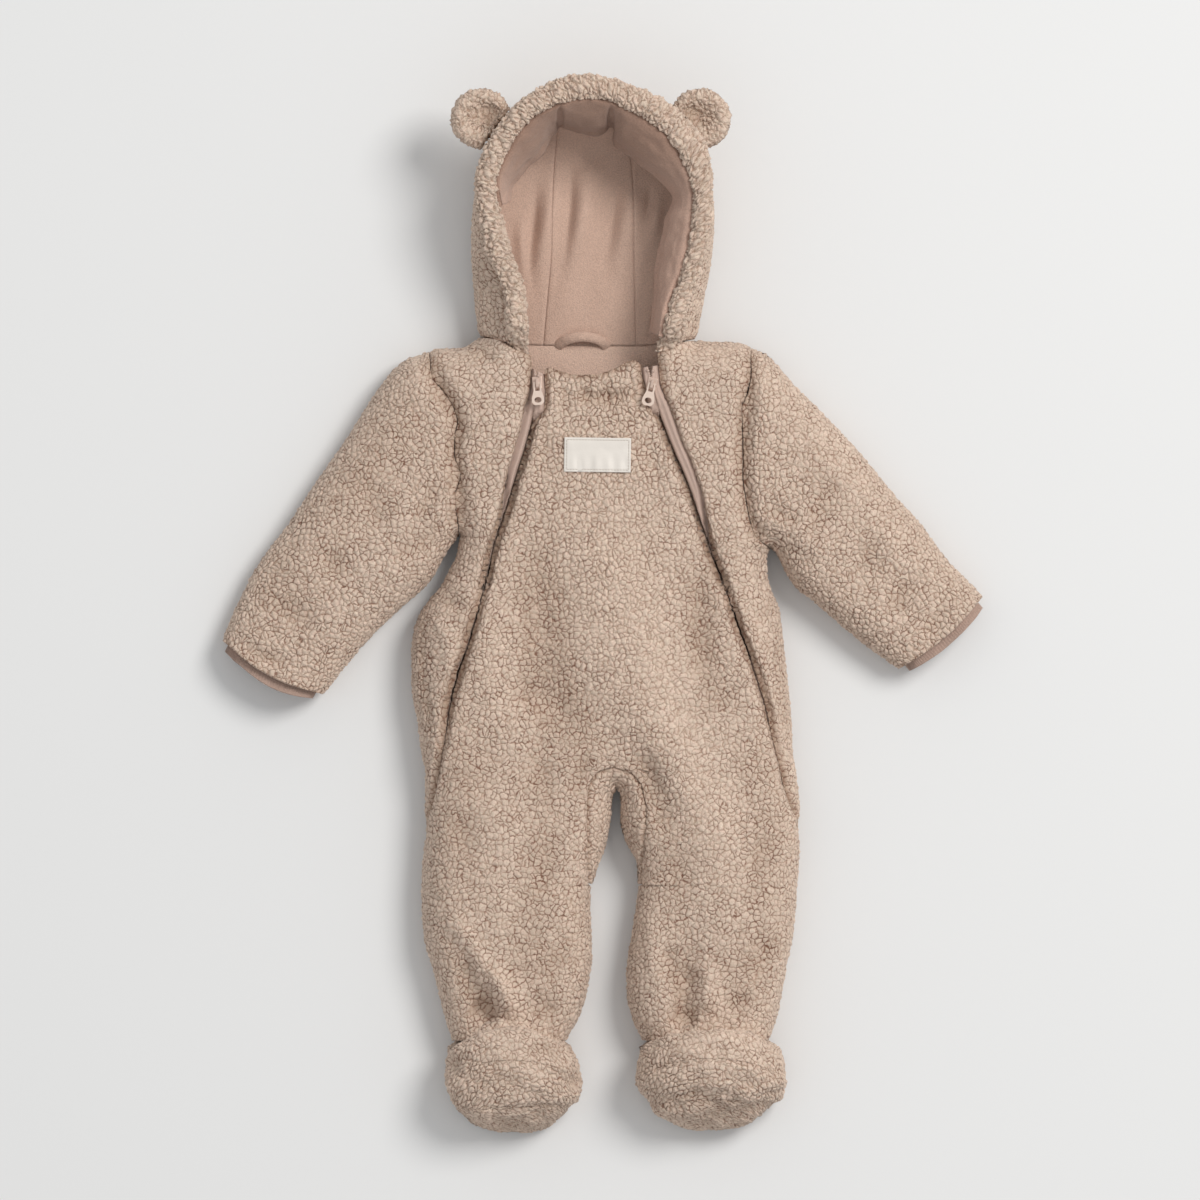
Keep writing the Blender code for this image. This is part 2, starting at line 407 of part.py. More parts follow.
def foot_grid(side, ks, n, top):
    """Half rings: over the top from left to right, or underneath."""
    r = column_splines(FOOT_L if side < 0 else FOOT_R, np.asarray(ks, float))
    yt, ys, xl, xr, zt, zs = (r[:, i:i + 1] for i in range(1, 7))
    th = np.linspace(0, np.pi, n + 1)[None]; co, si = np.cos(th), np.sin(th)
    ex = 0.80 if top else 0.55
    x = (xl + xr) / 2 - (xr - xl) / 2 * np.sign(co) * np.abs(co) ** ex
    s = np.abs(si) ** ex
    y = ys + (yt - ys) * s ** 3 if top else ys + 0 * s
    z = zs + (zt - zs) * s if top else zs * (1 - s)
    k = np.maximum(np.asarray(ks, float) - 5, 0)[:, None] / 3
    if not top: z = z + (k ** 2) * 5.0 * s
    m = metres(np.stack([x, y + 0 * x], -1))
    return np.concatenate([m, z[..., None] / 1000], -1)

# ---------------------------------------------------------------- making solids
def material(name, colour, rough, metal=0.0):
    m = bpy.data.materials.new(name); m.use_nodes = True
    b = m.node_tree.nodes["Principled BSDF"]
    b.inputs["Base Color"].default_value = (*colour, 1); b.inputs["Roughness"].default_value = rough; b.inputs["Metallic"].default_value = metal
    m.diffuse_color = (*colour, 1)
    return m

FLEECE, LINING, PINK, METAL, SATIN = (0.44, 0.33, 0.25), (0.42, 0.28, 0.21), (0.50, 0.36, 0.29), (0.55, 0.38, 0.31), (0.76, 0.72, 0.68)

def add(name, bm, colour, rough=0.9, metal=0.0, smooth=40):
    me = bpy.data.meshes.new(name); bm.normal_update(); bm.to_mesh(me); bm.free()
    ob = bpy.data.objects.new(name, me); bpy.context.scene.collection.objects.link(ob)
    me.materials.append(material(name, colour, rough, metal))
    me.shade_smooth(); me.set_sharp_from_angle(angle=math.radians(smooth))
    return ob

def shell(name, sheets, near, far, colour, rough=0.9):
    """Closed wall from sheets of surface points P with normals N (pointing out), between two depths below them.
    Sheets that share points join there; every open edge gets a side."""
    bm = bmesh.new(); seen = {}; faces = []
    def vert(p, n):
        key = tuple(np.round(p, 6))
        if key not in seen:
            seen[key] = (bm.verts.new(p - n * near), bm.verts.new(p - n * far))
        return seen[key]
    for P, N, close in sheets:
        start = len(faces)
        r, c = P.shape[:2]
        V = [[vert(P[i, j], N[i, j]) for j in range(c)] for i in range(r)]
        for i in range(r - 1):
            for j in range(c if close else c - 1):
                k = (j + 1) % c
                quad = [V[i][j], V[i][k], V[i + 1][k], V[i + 1][j]]
                uniq = list(dict.fromkeys(quad))
                if len(uniq) < 3: continue
                a, b, d = (np.array(uniq[m][0].co) for m in (0, 1, 2))
                nn = np.cross(b - a, d - a)
                faces.append((uniq, nn @ (N[i, j] + N[i + 1, k if k < c else 0])))
        sign = sum(f[1] for f in faces[start:])
        faces[start:] = [f[0] if sign > 0 else f[0][::-1] for f in faces[start:]]
    edges = {}
    for q in faces:
        bm.faces.new([v[0] for v in q]); bm.faces.new([v[1] for v in q[::-1]])
        for a, b in zip(q, q[1:] + q[:1]):
            edges[(a, b)] = edges.get((a, b), 0) + 1
    for (a, b) in edges:
        if (b, a) not in edges:
            bm.faces.new([b[0], a[0], a[1], b[1]])
    return add(name, bm, colour, rough)

def columns(P, N, a, b, ga, gb):
    """Columns a to b of a grid, its first and last moved in along the rows by ga and gb metres."""
    P, N = P[:, a:b + 1].copy(), N[:, a:b + 1].copy()
    for g, i, j in ((ga, 0, 1), (gb, -1, -2)):
        if g:
            e = P[:, j] - P[:, i]; L = np.linalg.norm(e, axis=1, keepdims=True)
            P[:, i] += e * np.minimum(g / np.maximum(L, 1e-9), 0.4)
    return P, N

def sheet3(P, N, close=False): return (P, N, close)

# ---------------------------------------------------------------- body, legs and zips
W_ARM = [(1 - math.cos(math.pi * j / 6)) / 2 for j in range(7)]
W_ARM[0] = 0.004
Y_LOW = (Y_HIP, 690, 735, 767.5, 774, 790, 815, 840, 862, 884, 930, 985, Y_HEM)
ROWS = np.array(W_ARM + [1.12, 1.4, 1.7] + [w_of_y(y) for y in Y_LOW])
END = int(np.argmin(abs(ROWS - w_of_y(ZIP_END))))
GROUND = 0.0004

def tape_gap(w):
    """How far the side front keeps back from the zip line, and the middle front at the slider."""
    y = Y_HIP + (w - 2) * 100
    out = np.where(w < 0.62, 0.0056, 0.0056 + (0.0014 - 0.0056) * smooth01((w - 0.62) / 0.38))
    mid = np.where(w < 0.26, 0.0066, 0.0066 + (0.0008 - 0.0066) * smooth01((w - 0.26) / 0.22))
    return out, mid

gap_out, gap_mid = tape_gap(ROWS)
OUTER = np.where(ROWS < 1.2, 0.0012, SEAM)
front = []
for side in (-1, 1):
    xi, xz, xo = inner_x(side, ROWS, True), zip_x(side, ROWS), outer_x(side, ROWS, True)
    y_in = row_y(ROWS, xi, True)
    far = np.where(np.arange(len(ROWS)) <= END, xz, xo)
    t_in = np.where(y_in > 767.6, 0.0008, 0.0)
    P, N = section(ROWS, xi, far, 5, True, (t_in, np.where(np.arange(len(ROWS)) <= END, gap_mid, SEAM)))
    front.append(sheet3(P, N))
    s = slice(0, END + 1); half = ROWS[s]
    P, N = section(half, xz[s], xo[s], 4, True, (gap_out[s], OUTER[s]))
    P[-1] = P[-1] + (P[-1].mean(0) - P[-1]) * 0.25
    shell("side_front_" + ("left" if side < 0 else "right"), [sheet3(P[:-1], N[:-1])], 0, PILE, FLEECE)
    xi, xo = inner_x(side, ROWS, False), outer_x(side, ROWS, False)
    P, N = section(ROWS, xo, xi, 6, False, (OUTER, np.where(ROWS > w_of_y(767), 0.0008, SEAM)))
    P[..., 2] = np.maximum(P[..., 2], 0)
    shell("back_" + ("left" if side < 0 else "right"), [sheet3(P, N)], 0, PILE, FLEECE)
    # zip tape, under both edges of its opening
    zr = np.concatenate([ROWS[1:END - 1]])
    xi, xz, xo = inner_x(side, zr, True), zip_x(side, zr), outer_x(side, zr, True)
    A, _ = section(zr, xi, xz, 40, True); B, _ = section(zr, xz, xo, 40, True)
    T = np.empty((len(zr), 3, 2))
    for i in range(len(zr)):
        for k, (G, reach) in enumerate(((A[i][::-1], np.interp(zr[i], (0.26, 0.48), (0.0082, 0.0040))), (B[i], 0.0085))):
            d = np.concatenate([[0], np.cumsum(np.linalg.norm(np.diff(G, axis=0), axis=1))])
            reach = min(reach, d[-1] * 0.6)
            T[i, 2 * k] = [np.interp(reach, d, G[:, m]) for m in (0, 1)]
        T[i, 1] = B[i, 0, :2]
    P, N = upper(T)
    shell("zip_tape_" + ("left" if side < 0 else "right"), [sheet3(P, N)], PILE + 0.0014, PILE + 0.0024, PINK)
shell("front_middle", front, 0, PILE, FLEECE)

P, N = gusset_grid([884, 862, 840, 815, 790, 774, 767.5], 3, 0.0012)
shell("crotch_gusset", [sheet3(P, N)], 0, PILE, FLEECE)

# ---------------------------------------------------------------- sleeves and cuffs
for side, tag in ((-1, "left"), (1, "right")):
    ks = np.array([0.04, 0.30 if side < 0 else 0.17, 0.7, 1.4, 2, 3, 4, 5, 6, 7, 8.0])
    cols = np.array(W_ARM[:-1] + [1.0]); cols[0] = 0.0
    P, N = sleeve_grid(side, ks, cols, True); Q, M = sleeve_grid(side, ks, cols, False)
    for A in (P, N, Q, M):   # the armhole edge keeps further back towards the armpit
        A[1] = A[0] + (A[1] - A[0]) * (cols ** 3)[:, None]
    P, N, Q, M = P[1:], N[1:], Q[1:], M[1:]
    P = np.concatenate([P, Q[:, ::-1][:, 1:-1]], 1); N = np.concatenate([N, M[:, ::-1][:, 1:-1]], 1)
    shell("sleeve_" + tag, [sheet3(P, N, True)], 0, PILE, FLEECE)
    ks = np.array([6.9, 7.6, 8.0, 8.75])
    P, N = sleeve_grid(side, ks, cols, True); Q, M = sleeve_grid(side, ks, cols, False)
    P = np.concatenate([P, Q[:, ::-1][:, 1:-1]], 1); N = np.concatenate([N, M[:, ::-1][:, 1:-1]], 1)
    shell("cuff_" + tag, [sheet3(P, N, True)], PILE + 0.0010, PILE + 0.0010 + RIB, PINK)

# ---------------------------------------------------------------- hood
VS = np.array([0, 0.15, 0.5, 1, 2, 3, 4, 5, 6, 7, 7.8])
P, N, c1, c2 = hood_grid(VS, 3, 5, 3)
P[..., 2] = np.maximum(P[..., 2], 0)
last = P.shape[1] - 1
for tag, a, b, ga, gb in (("side_left", 0, c1, 0, SEAM), ("centre", c1, c2, SEAM, SEAM), ("side_right", c2, last, SEAM, 0)):
    Q, M = columns(P, N, a, b, ga, gb)
    shell("hood_" + tag, [sheet3(Q, M)], 0, PILE, FLEECE)
    Q, M = columns(P, N, a, b, ga * 1.5, gb * 1.5)
    if tag == "side_left": Q, M = Q[1:-1, 1:], M[1:-1, 1:]
    if tag == "side_right": Q, M = Q[1:-1, :-1], M[1:-1, :-1]
    shell("lining_" + tag, [sheet3(Q, M)], PILE + 0.0014, PILE + 0.0014 + SMOOTH, LINING)

t = np.linspace(0, 18, 26)
G = brim_grid(t, 8)
bm = bmesh.new(); V = [[bm.verts.new(p) for p in ring] for ring in G]
for i in range(len(V) - 1):
    for j in range(8):
        bm.faces.new([V[i][j], V[i][(j + 1) % 8], V[i + 1][(j + 1) % 8], V[i + 1][j]])
bm.faces.new(V[0][::-1]); bm.faces.new(V[-1])
bmesh.ops.recalc_face_normals(bm, faces=bm.faces)
add("hood_brim", bm, FLEECE)

t = np.linspace(3.3, 17.6, 20)
G = facing_grid(t, 5); N = grid_normals(G, 1)
if N[10, 2, 2] < 0: N = -N
shell("hood_facing", [sheet3(G, N)], 0, 0.0026, LINING)

# neck lining inside the back, up to the hood's lining
xs = np.linspace(516, 672, 9); ys = np.linspace(0, 1, 5)
top = row_y(np.zeros(9), xs, False) + 1.0
XY = np.stack([np.repeat(xs[None], 5, 0), top[None] + ys[:, None] * 55], -1)
P, N = lower(metres(XY))
shell("neck_lining", [sheet3(P, N)], PILE + 0.0005, PILE + 0.0005 + SMOOTH, LINING)

# hanger loop: a strip standing out of the neck seam
path = spline([(559, 349), (561, 341), (569, 334.5), (582, 332), (595, 334), (603, 340), (606, 348)], 17)
xy = metres(path); z = 0.0100 + 0.0045 * np.sin(np.linspace(0, np.pi, 17)); tan = np.gradient(xy, axis=0); tan /= np.linalg.norm(tan, axis=1)[:, None]
nor = np.stack([-tan[:, 1], tan[:, 0]], 1); ph = np.linspace(0, 2 * np.pi, 8, endpoint=False)
bm = bmesh.new(); V = []
for i in range(17):
    V.append([bm.verts.new((xy[i, 0] + nor[i, 0] * 0.0033 * math.cos(a), xy[i, 1] + nor[i, 1] * 0.0033 * math.cos(a), z[i] + 0.0018 * math.sin(a))) for a in ph])
for i in range(16):
    for j in range(8): bm.faces.new([V[i][j], V[i][(j + 1) % 8], V[i + 1][(j + 1) % 8], V[i + 1][j]])
bm.faces.new(V[0][::-1]); bm.faces.new(V[-1]); bmesh.ops.recalc_face_normals(bm, faces=bm.faces)
add("hanger_loop", bm, LINING)

# ---------------------------------------------------------------- ears
for tag in ("left", "right"):
    for part, is_front in (("front", True), ("back", False)):
        m, G = ear_grid(tag, 5, 16, is_front)
        th = 0.0030 if is_front else 0.0034
        bm = bmesh.new(); up = 0.0; dz = -th if is_front else th
        A = [bm.verts.new(m)] ; B = [bm.verts.new(m + np.array([0, 0, dz]))]
        RA = [[bm.verts.new(p) for p in ring] for ring in G]; RB = []
        for i, ring in enumerate(G):
            k = 1.0 if i < 4 else 0.35
            RB.append([bm.verts.new(p + np.array([0, 0, dz * k])) for p in ring])
        n = 16
        for R, c in ((RA, A[0]), (RB, B[0])):
            for j in range(n):
                bm.faces.new([c, R[0][j], R[0][(j + 1) % n]])
                for i in range(4): bm.faces.new([R[i][j], R[i + 1][j], R[i + 1][(j + 1) % n], R[i][(j + 1) % n]])
        for j in range(n): bm.faces.new([RA[4][j], RB[4][j], RB[4][(j + 1) % n], RA[4][(j + 1) % n]])
        bmesh.ops.recalc_face_normals(bm, faces=bm.faces)
        add(f"ear_{tag}_{part}", bm, FLEECE)

# ---------------------------------------------------------------- feet
def foot_sheet(side, ks, n, top, g0, g1):
    G = foot_grid(side, ks, n, top)
    N = grid_normals(G, 1)
    mid = N[len(ks) // 2, n // 2, 2]
    if (mid < 0) == top: N = -N
    for g, i, j in ((g0, 0, 1), (g1, -1, -2)):
        if g:
            e = G[j] - G[i]; L = np.linalg.norm(e, axis=1, keepdims=True); G[i] += e * np.minimum(g / np.maximum(L, 1e-9), 0.4)
    return G, N

for side, tag in ((-1, "left"), (1, "right")):
    K = np.array([0, 0.5, 1, 2, 3, 4, 5, 6, 7, 8.0]); n = 10
    T, NT = foot_sheet(side, K, n, True, 0, 0); B, NB = foot_sheet(side, K, n, False, 0, 0)
    for c in (0, n):   # the two halves meet along the sides with one normal
        nn = NT[:, c] + NB[:, c]; nn /= np.linalg.norm(nn, axis=1)[:, None]; NT[:, c] = NB[:, c] = nn
    def strip(G, N, a, b, ga, gb):
        G, N = G[a:b + 1].copy(), N[a:b + 1].copy()
        for g, i, j in ((ga, 0, 1), (gb, -1, -2)):
            if g:
                e = G[j] - G[i]; L = np.linalg.norm(e, axis=1, keepdims=True); G[i] += e * np.minimum(g / np.maximum(L, 1e-9), 0.4)
        return G, N
    def edge_in(G, N, g):
        G = G.copy()
        for i, j in ((0, 1), (-1, -2)):
            e = G[:, j] - G[:, i]; L = np.linalg.norm(e, axis=1, keepdims=True); G[:, i] += e * np.minimum(g / np.maximum(L, 1e-9), 0.4)
        return G, N
    G, N = edge_in(*strip(T, NT, 0, 4, 0, SEAM), SEAM); shell(f"foot_{tag}_vamp", [sheet3(G, N)], 0, PILE * 0.8, FLEECE)
    G, N = edge_in(*strip(T, NT, 4, 6, SEAM, SEAM), SEAM); shell(f"foot_{tag}_toe", [sheet3(G, N)], 0, PILE * 0.8, FLEECE)
    G, N = edge_in(*strip(B, NB, 0, 6, 0, SEAM), SEAM); shell(f"foot_{tag}_heel", [sheet3(G, N)], 0, PILE * 0.8, FLEECE)
    G, N = strip(T, NT, 6, 9, 0.0007, 0); H, M = strip(B, NB, 6, 9, 0.0007, 0)
    ring = np.concatenate([G, H[:, ::-1][:, 1:-1]], 1); nr = np.concatenate([N, M[:, ::-1][:, 1:-1]], 1)
    bm = bmesh.new(); outer = [[bm.verts.new(p) for p in r] for r in ring]; m = ring.shape[1]
    c = ring[-1].mean(0); inn = []
    for i, r in enumerate(ring):
        q = r - nr[i] * PILE * 0.8 if i < 1 else r + (np.array([c[0], c[1] + 0.012, c[2] + 0.004]) - r) * (0.22, 0.30, 0.42, 0.55)[i]
        inn.append([bm.verts.new(p) for p in q])
    for i in range(len(ring) - 1):
        for j in range(m):
            k = (j + 1) % m
            bm.faces.new([outer[i][j], outer[i][k], outer[i + 1][k], outer[i + 1][j]]); bm.faces.new([inn[i][j], inn[i + 1][j], inn[i + 1][k], inn[i][k]])
    for j in range(m): bm.faces.new([outer[0][j], inn[0][j], inn[0][(j + 1) % m], outer[0][(j + 1) % m]])
    bm.faces.new(outer[-1]); bm.faces.new(inn[-1][::-1])
    bmesh.ops.recalc_face_normals(bm, faces=bm.faces)
    add(f"foot_{tag}_sole", bm, FLEECE)

# ---------------------------------------------------------------- sliders and pulls
# slider centre x, y; turn of the zip there, degrees from straight down, in the cloth's plane
SLIDERS = {"left": (537.2, 383.0, 3.0), "right": (652.0, 384.0, -13.0)}
BODY_W, BODY_L, BODY_H = 0.0072, 0.0092, 0.0040
BRIDGE_W, BAR = 0.0020, 0.0013
PULL_W, PULL_L, PULL_T = 0.0088, 0.0168, 0.0013

def block(bm, x0, x1, y0, y1, z0, z1, bevel=0.0):
    r = bmesh.ops.create_cube(bm, size=1)
    for v in r["verts"]:
        v.co = ((x0, x1)[v.co.x > 0], (y0, y1)[v.co.y > 0], (z0, z1)[v.co.z > 0])
    if bevel:
        es = list({e for v in r["verts"] for e in v.link_edges})
        bmesh.ops.bevel(bm, geom=es, offset=bevel, segments=2, affect="EDGES", profile=0.5)

def helper(bm, name):
    ob = add(name, bm, PINK); ob.hide_render = True; ob.display_type = "WIRE"; return ob

def join_cut(ob, other, op):
    md = ob.modifiers.new("b", "BOOLEAN"); md.operation = op; md.object = other; md.solver = "EXACT"

for tag, (sx, sy, turn) in SLIDERS.items():
    c = metres((sx, sy)); T = float(upper(c[None])[0][0, 2])
    rot = math.radians(turn); axis_z = T + 0.00125
    bm = bmesh.new(); block(bm, -BODY_W / 2, BODY_W / 2, -BODY_L / 2, BODY_L / 2, T - 0.0046, T - 0.0046 + BODY_H, 0.0007)
    body = add("slider_" + tag, bm, METAL, 0.4, 0.6, 30)
    # bridge: an arch along the zip, its slot round the pull's bar
    bm = bmesh.new(); y0, y1, zb, zt = -0.0030, 0.0030, T - 0.0010, axis_z + 0.0022
    block(bm, -BRIDGE_W / 2, BRIDGE_W / 2, y0, y1, zb, zt, 0.0003)
    bridge = helper(bm, "bridge_" + tag)
    bm = bmesh.new(); block(bm, -0.004, 0.004, -0.0014, 0.0014, axis_z - 0.0013, axis_z + 0.0013)
    slot = helper(bm, "slot_" + tag)
    join_cut(bridge, slot, "DIFFERENCE"); join_cut(body, bridge, "UNION")
    # pull: plate with a window at its top and a hole at its foot, its top bar on the axis
    bm = bmesh.new()
    outline_pts = [(-0.0026, 0.0007), (0.0026, 0.0007), (0.0029, -0.0060), (0.0044, -0.0110), (0.0044, -0.0138), (0.0026, -0.0160), (-0.0026, -0.0160), (-0.0044, -0.0138), (-0.0044, -0.0110), (-0.0029, -0.0060)]
    vs = [bm.verts.new((x, y, -PULL_T / 2)) for x, y in outline_pts]
    f = bm.faces.new(vs); r = bmesh.ops.extrude_face_region(bm, geom=[f])
    bmesh.ops.translate(bm, vec=(0, 0, PULL_T), verts=[v for v in r["geom"] if isinstance(v, bmesh.types.BMVert)])
    bmesh.ops.recalc_face_normals(bm, faces=bm.faces)
    pull = add("pull_" + tag, bm, PINK, 0.45, 0.0, 30)
    bm = bmesh.new(); block(bm, -0.00165, 0.00165, -0.0058, -0.0007, -0.003, 0.003); window = helper(bm, "window_" + tag)
    bm = bmesh.new(); bmesh.ops.create_cone(bm, cap_ends=True, segments=20, radius1=0.0026, radius2=0.0026, depth=0.006)
    bmesh.ops.scale(bm, vec=(1.0, 0.78, 1), verts=bm.verts); bmesh.ops.translate(bm, vec=(0, -0.0123, 0), verts=bm.verts); hole = helper(bm, "hole_" + tag)
    join_cut(pull, window, "DIFFERENCE"); join_cut(pull, hole, "DIFFERENCE")
    for ob in (window, hole): ob.parent = pull
    pull.location = (c[0], c[1], axis_z); pull.rotation_euler = (0, 0, rot)
    for ob in (body,): ob.location = (c[0], c[1], 0); ob.rotation_euler = (0, 0, rot)
    for ob in (bridge, slot): ob.parent = body

# ---------------------------------------------------------------- label on the bib
LABEL = (597.5, 455.0, 0.0480, 0.0248, 0.0007, -0.8)   # centre x, y; width; height; thickness; turn
c = metres(LABEL[:2]); T = float(upper(c[None])[0][0, 2])
bm = bmesh.new(); block(bm, -LABEL[2] / 2, LABEL[2] / 2, -LABEL[3] / 2, LABEL[3] / 2, 0, LABEL[4])
label = add("label", bm, SATIN, 0.4); label.location = (c[0], c[1], T + 0.0004); label.rotation_euler = (0, 0, math.radians(LABEL[5]))
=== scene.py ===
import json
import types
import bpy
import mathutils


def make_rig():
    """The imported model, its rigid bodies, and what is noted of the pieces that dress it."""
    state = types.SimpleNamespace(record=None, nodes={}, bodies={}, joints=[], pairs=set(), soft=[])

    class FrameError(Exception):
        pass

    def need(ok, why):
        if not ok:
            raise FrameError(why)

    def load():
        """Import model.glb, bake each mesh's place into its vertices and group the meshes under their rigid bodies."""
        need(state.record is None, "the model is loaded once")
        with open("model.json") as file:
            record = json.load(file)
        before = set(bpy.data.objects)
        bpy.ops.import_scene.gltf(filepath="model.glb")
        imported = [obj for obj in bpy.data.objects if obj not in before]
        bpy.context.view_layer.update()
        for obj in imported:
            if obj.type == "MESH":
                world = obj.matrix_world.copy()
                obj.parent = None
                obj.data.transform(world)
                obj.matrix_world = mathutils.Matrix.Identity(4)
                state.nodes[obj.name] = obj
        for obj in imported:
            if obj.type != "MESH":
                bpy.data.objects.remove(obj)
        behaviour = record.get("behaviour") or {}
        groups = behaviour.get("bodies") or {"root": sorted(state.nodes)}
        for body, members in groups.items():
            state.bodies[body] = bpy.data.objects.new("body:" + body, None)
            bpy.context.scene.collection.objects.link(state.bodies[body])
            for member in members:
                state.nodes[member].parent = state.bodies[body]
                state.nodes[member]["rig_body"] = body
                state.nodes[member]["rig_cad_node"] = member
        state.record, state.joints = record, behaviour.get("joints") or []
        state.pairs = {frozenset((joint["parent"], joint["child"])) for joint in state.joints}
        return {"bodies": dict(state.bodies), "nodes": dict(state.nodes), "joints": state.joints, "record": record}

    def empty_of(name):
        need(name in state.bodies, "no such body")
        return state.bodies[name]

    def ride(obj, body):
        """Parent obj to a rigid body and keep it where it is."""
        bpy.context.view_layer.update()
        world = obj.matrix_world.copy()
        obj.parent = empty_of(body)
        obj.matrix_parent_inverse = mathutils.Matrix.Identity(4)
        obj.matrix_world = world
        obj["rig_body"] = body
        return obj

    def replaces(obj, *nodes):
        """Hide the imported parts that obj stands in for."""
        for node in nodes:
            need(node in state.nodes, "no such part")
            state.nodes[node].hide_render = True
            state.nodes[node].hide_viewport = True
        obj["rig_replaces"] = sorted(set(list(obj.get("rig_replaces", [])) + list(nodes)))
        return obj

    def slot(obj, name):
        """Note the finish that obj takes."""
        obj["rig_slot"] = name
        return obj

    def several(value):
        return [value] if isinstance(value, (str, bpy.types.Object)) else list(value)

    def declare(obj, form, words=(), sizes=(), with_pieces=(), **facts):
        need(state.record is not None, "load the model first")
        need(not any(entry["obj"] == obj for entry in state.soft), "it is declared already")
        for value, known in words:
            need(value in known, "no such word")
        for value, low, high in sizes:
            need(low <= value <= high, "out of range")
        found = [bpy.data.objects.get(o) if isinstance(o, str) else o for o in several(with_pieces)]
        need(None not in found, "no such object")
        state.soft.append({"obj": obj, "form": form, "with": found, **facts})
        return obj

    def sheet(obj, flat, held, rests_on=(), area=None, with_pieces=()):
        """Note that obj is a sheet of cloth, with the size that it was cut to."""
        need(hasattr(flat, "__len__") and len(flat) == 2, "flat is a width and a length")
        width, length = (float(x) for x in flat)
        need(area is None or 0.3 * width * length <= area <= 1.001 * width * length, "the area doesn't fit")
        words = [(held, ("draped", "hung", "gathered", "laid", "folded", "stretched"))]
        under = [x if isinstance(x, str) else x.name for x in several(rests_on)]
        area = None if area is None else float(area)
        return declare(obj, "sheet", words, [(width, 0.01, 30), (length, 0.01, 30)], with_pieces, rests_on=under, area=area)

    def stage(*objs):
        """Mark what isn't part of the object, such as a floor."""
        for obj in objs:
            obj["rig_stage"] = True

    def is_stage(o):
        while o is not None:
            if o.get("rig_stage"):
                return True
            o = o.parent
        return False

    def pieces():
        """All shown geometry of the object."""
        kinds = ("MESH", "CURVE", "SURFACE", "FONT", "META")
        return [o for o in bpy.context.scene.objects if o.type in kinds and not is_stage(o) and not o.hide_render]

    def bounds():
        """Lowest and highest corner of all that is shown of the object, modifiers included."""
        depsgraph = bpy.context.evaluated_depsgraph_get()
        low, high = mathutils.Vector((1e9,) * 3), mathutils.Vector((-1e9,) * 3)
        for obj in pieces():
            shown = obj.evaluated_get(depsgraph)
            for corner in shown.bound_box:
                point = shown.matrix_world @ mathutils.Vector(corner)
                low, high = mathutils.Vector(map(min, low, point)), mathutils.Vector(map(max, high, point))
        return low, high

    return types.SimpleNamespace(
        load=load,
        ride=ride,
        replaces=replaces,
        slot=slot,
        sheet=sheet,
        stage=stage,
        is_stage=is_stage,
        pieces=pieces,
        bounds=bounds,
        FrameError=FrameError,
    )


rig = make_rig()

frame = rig.load()

import json
import math

import bmesh
import bpy
import numpy as np
from mathutils import Vector

CAD_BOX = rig.bounds()

# ---------------------------------------------------------------- sizes
UNIT = 0.00072          # one layout unit, in metres; x runs right, y runs down the garment
CX, CY = 602.5, 605.3   # layout position of the origin
PILE = 0.0050           # pile fleece, backing and curls together
SMOOTH = 0.0022         # smooth fleece
RIB = 0.0025            # rib knit
SEAM = 0.0002           # half of the gap between two sewn pieces
Z_EDGE = 0.0140         # height of the side edge, where front meets back
R_TOP = 0.030           # how far in from an edge the upper side rounds off
R_LOW = 0.015           # the same, underneath

# ---------------------------------------------------------------- outline tables, in layout units
# sleeves: upper edge x, y; lower edge x, y; how far the cross line bows towards the hand
SLEEVE_L = [(402, 361, 446, 556, 0), (379, 386, 429, 584, 0), (347, 436, 407, 604, 0), (315, 482, 384, 625, 0),
            (287, 524, 365, 645, 2), (260, 560, 347, 666, 4), (239, 599, 335, 681, 6), (221, 640, 324, 695, 8)]
SLEEVE_R = [(776, 362, 777, 556, 0), (796, 386, 787, 576, 0), (818, 407, 797, 590, 0), (861, 453, 808, 598, 0),
            (893, 492, 829, 616, 0), (922, 524, 857, 640, 2), (948, 559, 880, 657, 4), (984, 596, 898, 670, 6)]
SHOULDER_L = [(478, 337), (463, 346), (435, 348), (420, 354), (402, 361)]
SHOULDER_R = [(697, 340), (720, 341), (741, 342), (755, 348), (766, 353), (776, 362)]
# armhole seams: y, x
ARM_L = [(350, 428), (375, 432), (389, 441), (409, 453), (423, 457), (437, 455), (454, 454), (475, 459), (497, 456), (515, 457), (537, 459)]
ARM_R = [(345, 752), (372, 751), (395, 747), (409, 743), (440, 743), (474, 743), (500, 746), (520, 750), (537, 757), (549, 771)]
# outer edges of body and legs: y, x
EDGE_L = [(537, 459), (555, 455), (572, 447), (585, 440), (600, 428), (615, 418), (633, 412), (655, 410), (680, 410), (700, 412), (720, 416),
          (745, 419), (776, 424), (830, 424), (860, 421.5), (885, 420), (920, 421), (940, 423), (961, 429), (987, 436), (1016, 443), (1047, 453)]
EDGE_R = [(549, 771), (561, 768), (576, 769), (590, 773), (611, 781), (635, 784), (674, 788), (711, 792), (745, 793.5), (780, 798), (814, 801),
          (850, 801), (880, 799), (909, 797), (940, 794), (961, 789), (995, 783), (1018, 778), (1047, 768)]
# crotch gusset: y of its outer edge, outer x left, outer x right, gap edge x, y left, gap edge x, y right
GUSSET = [(884, 590.3, 640.0, 592.4, 884.3, 638.2, 884.3), (862, 589, 641, 598, 866, 637, 864), (840, 588, 644, 606, 845, 627, 844),
          (815, 587.5, 646, 610.5, 820, 620.5, 822), (790, 588.5, 643, 612.3, 801, 620.8, 804), (774, 596, 632, 614, 793.5, 620, 794),
          (767.5, 614, 614, 617, 789.5, 617, 789.5)]
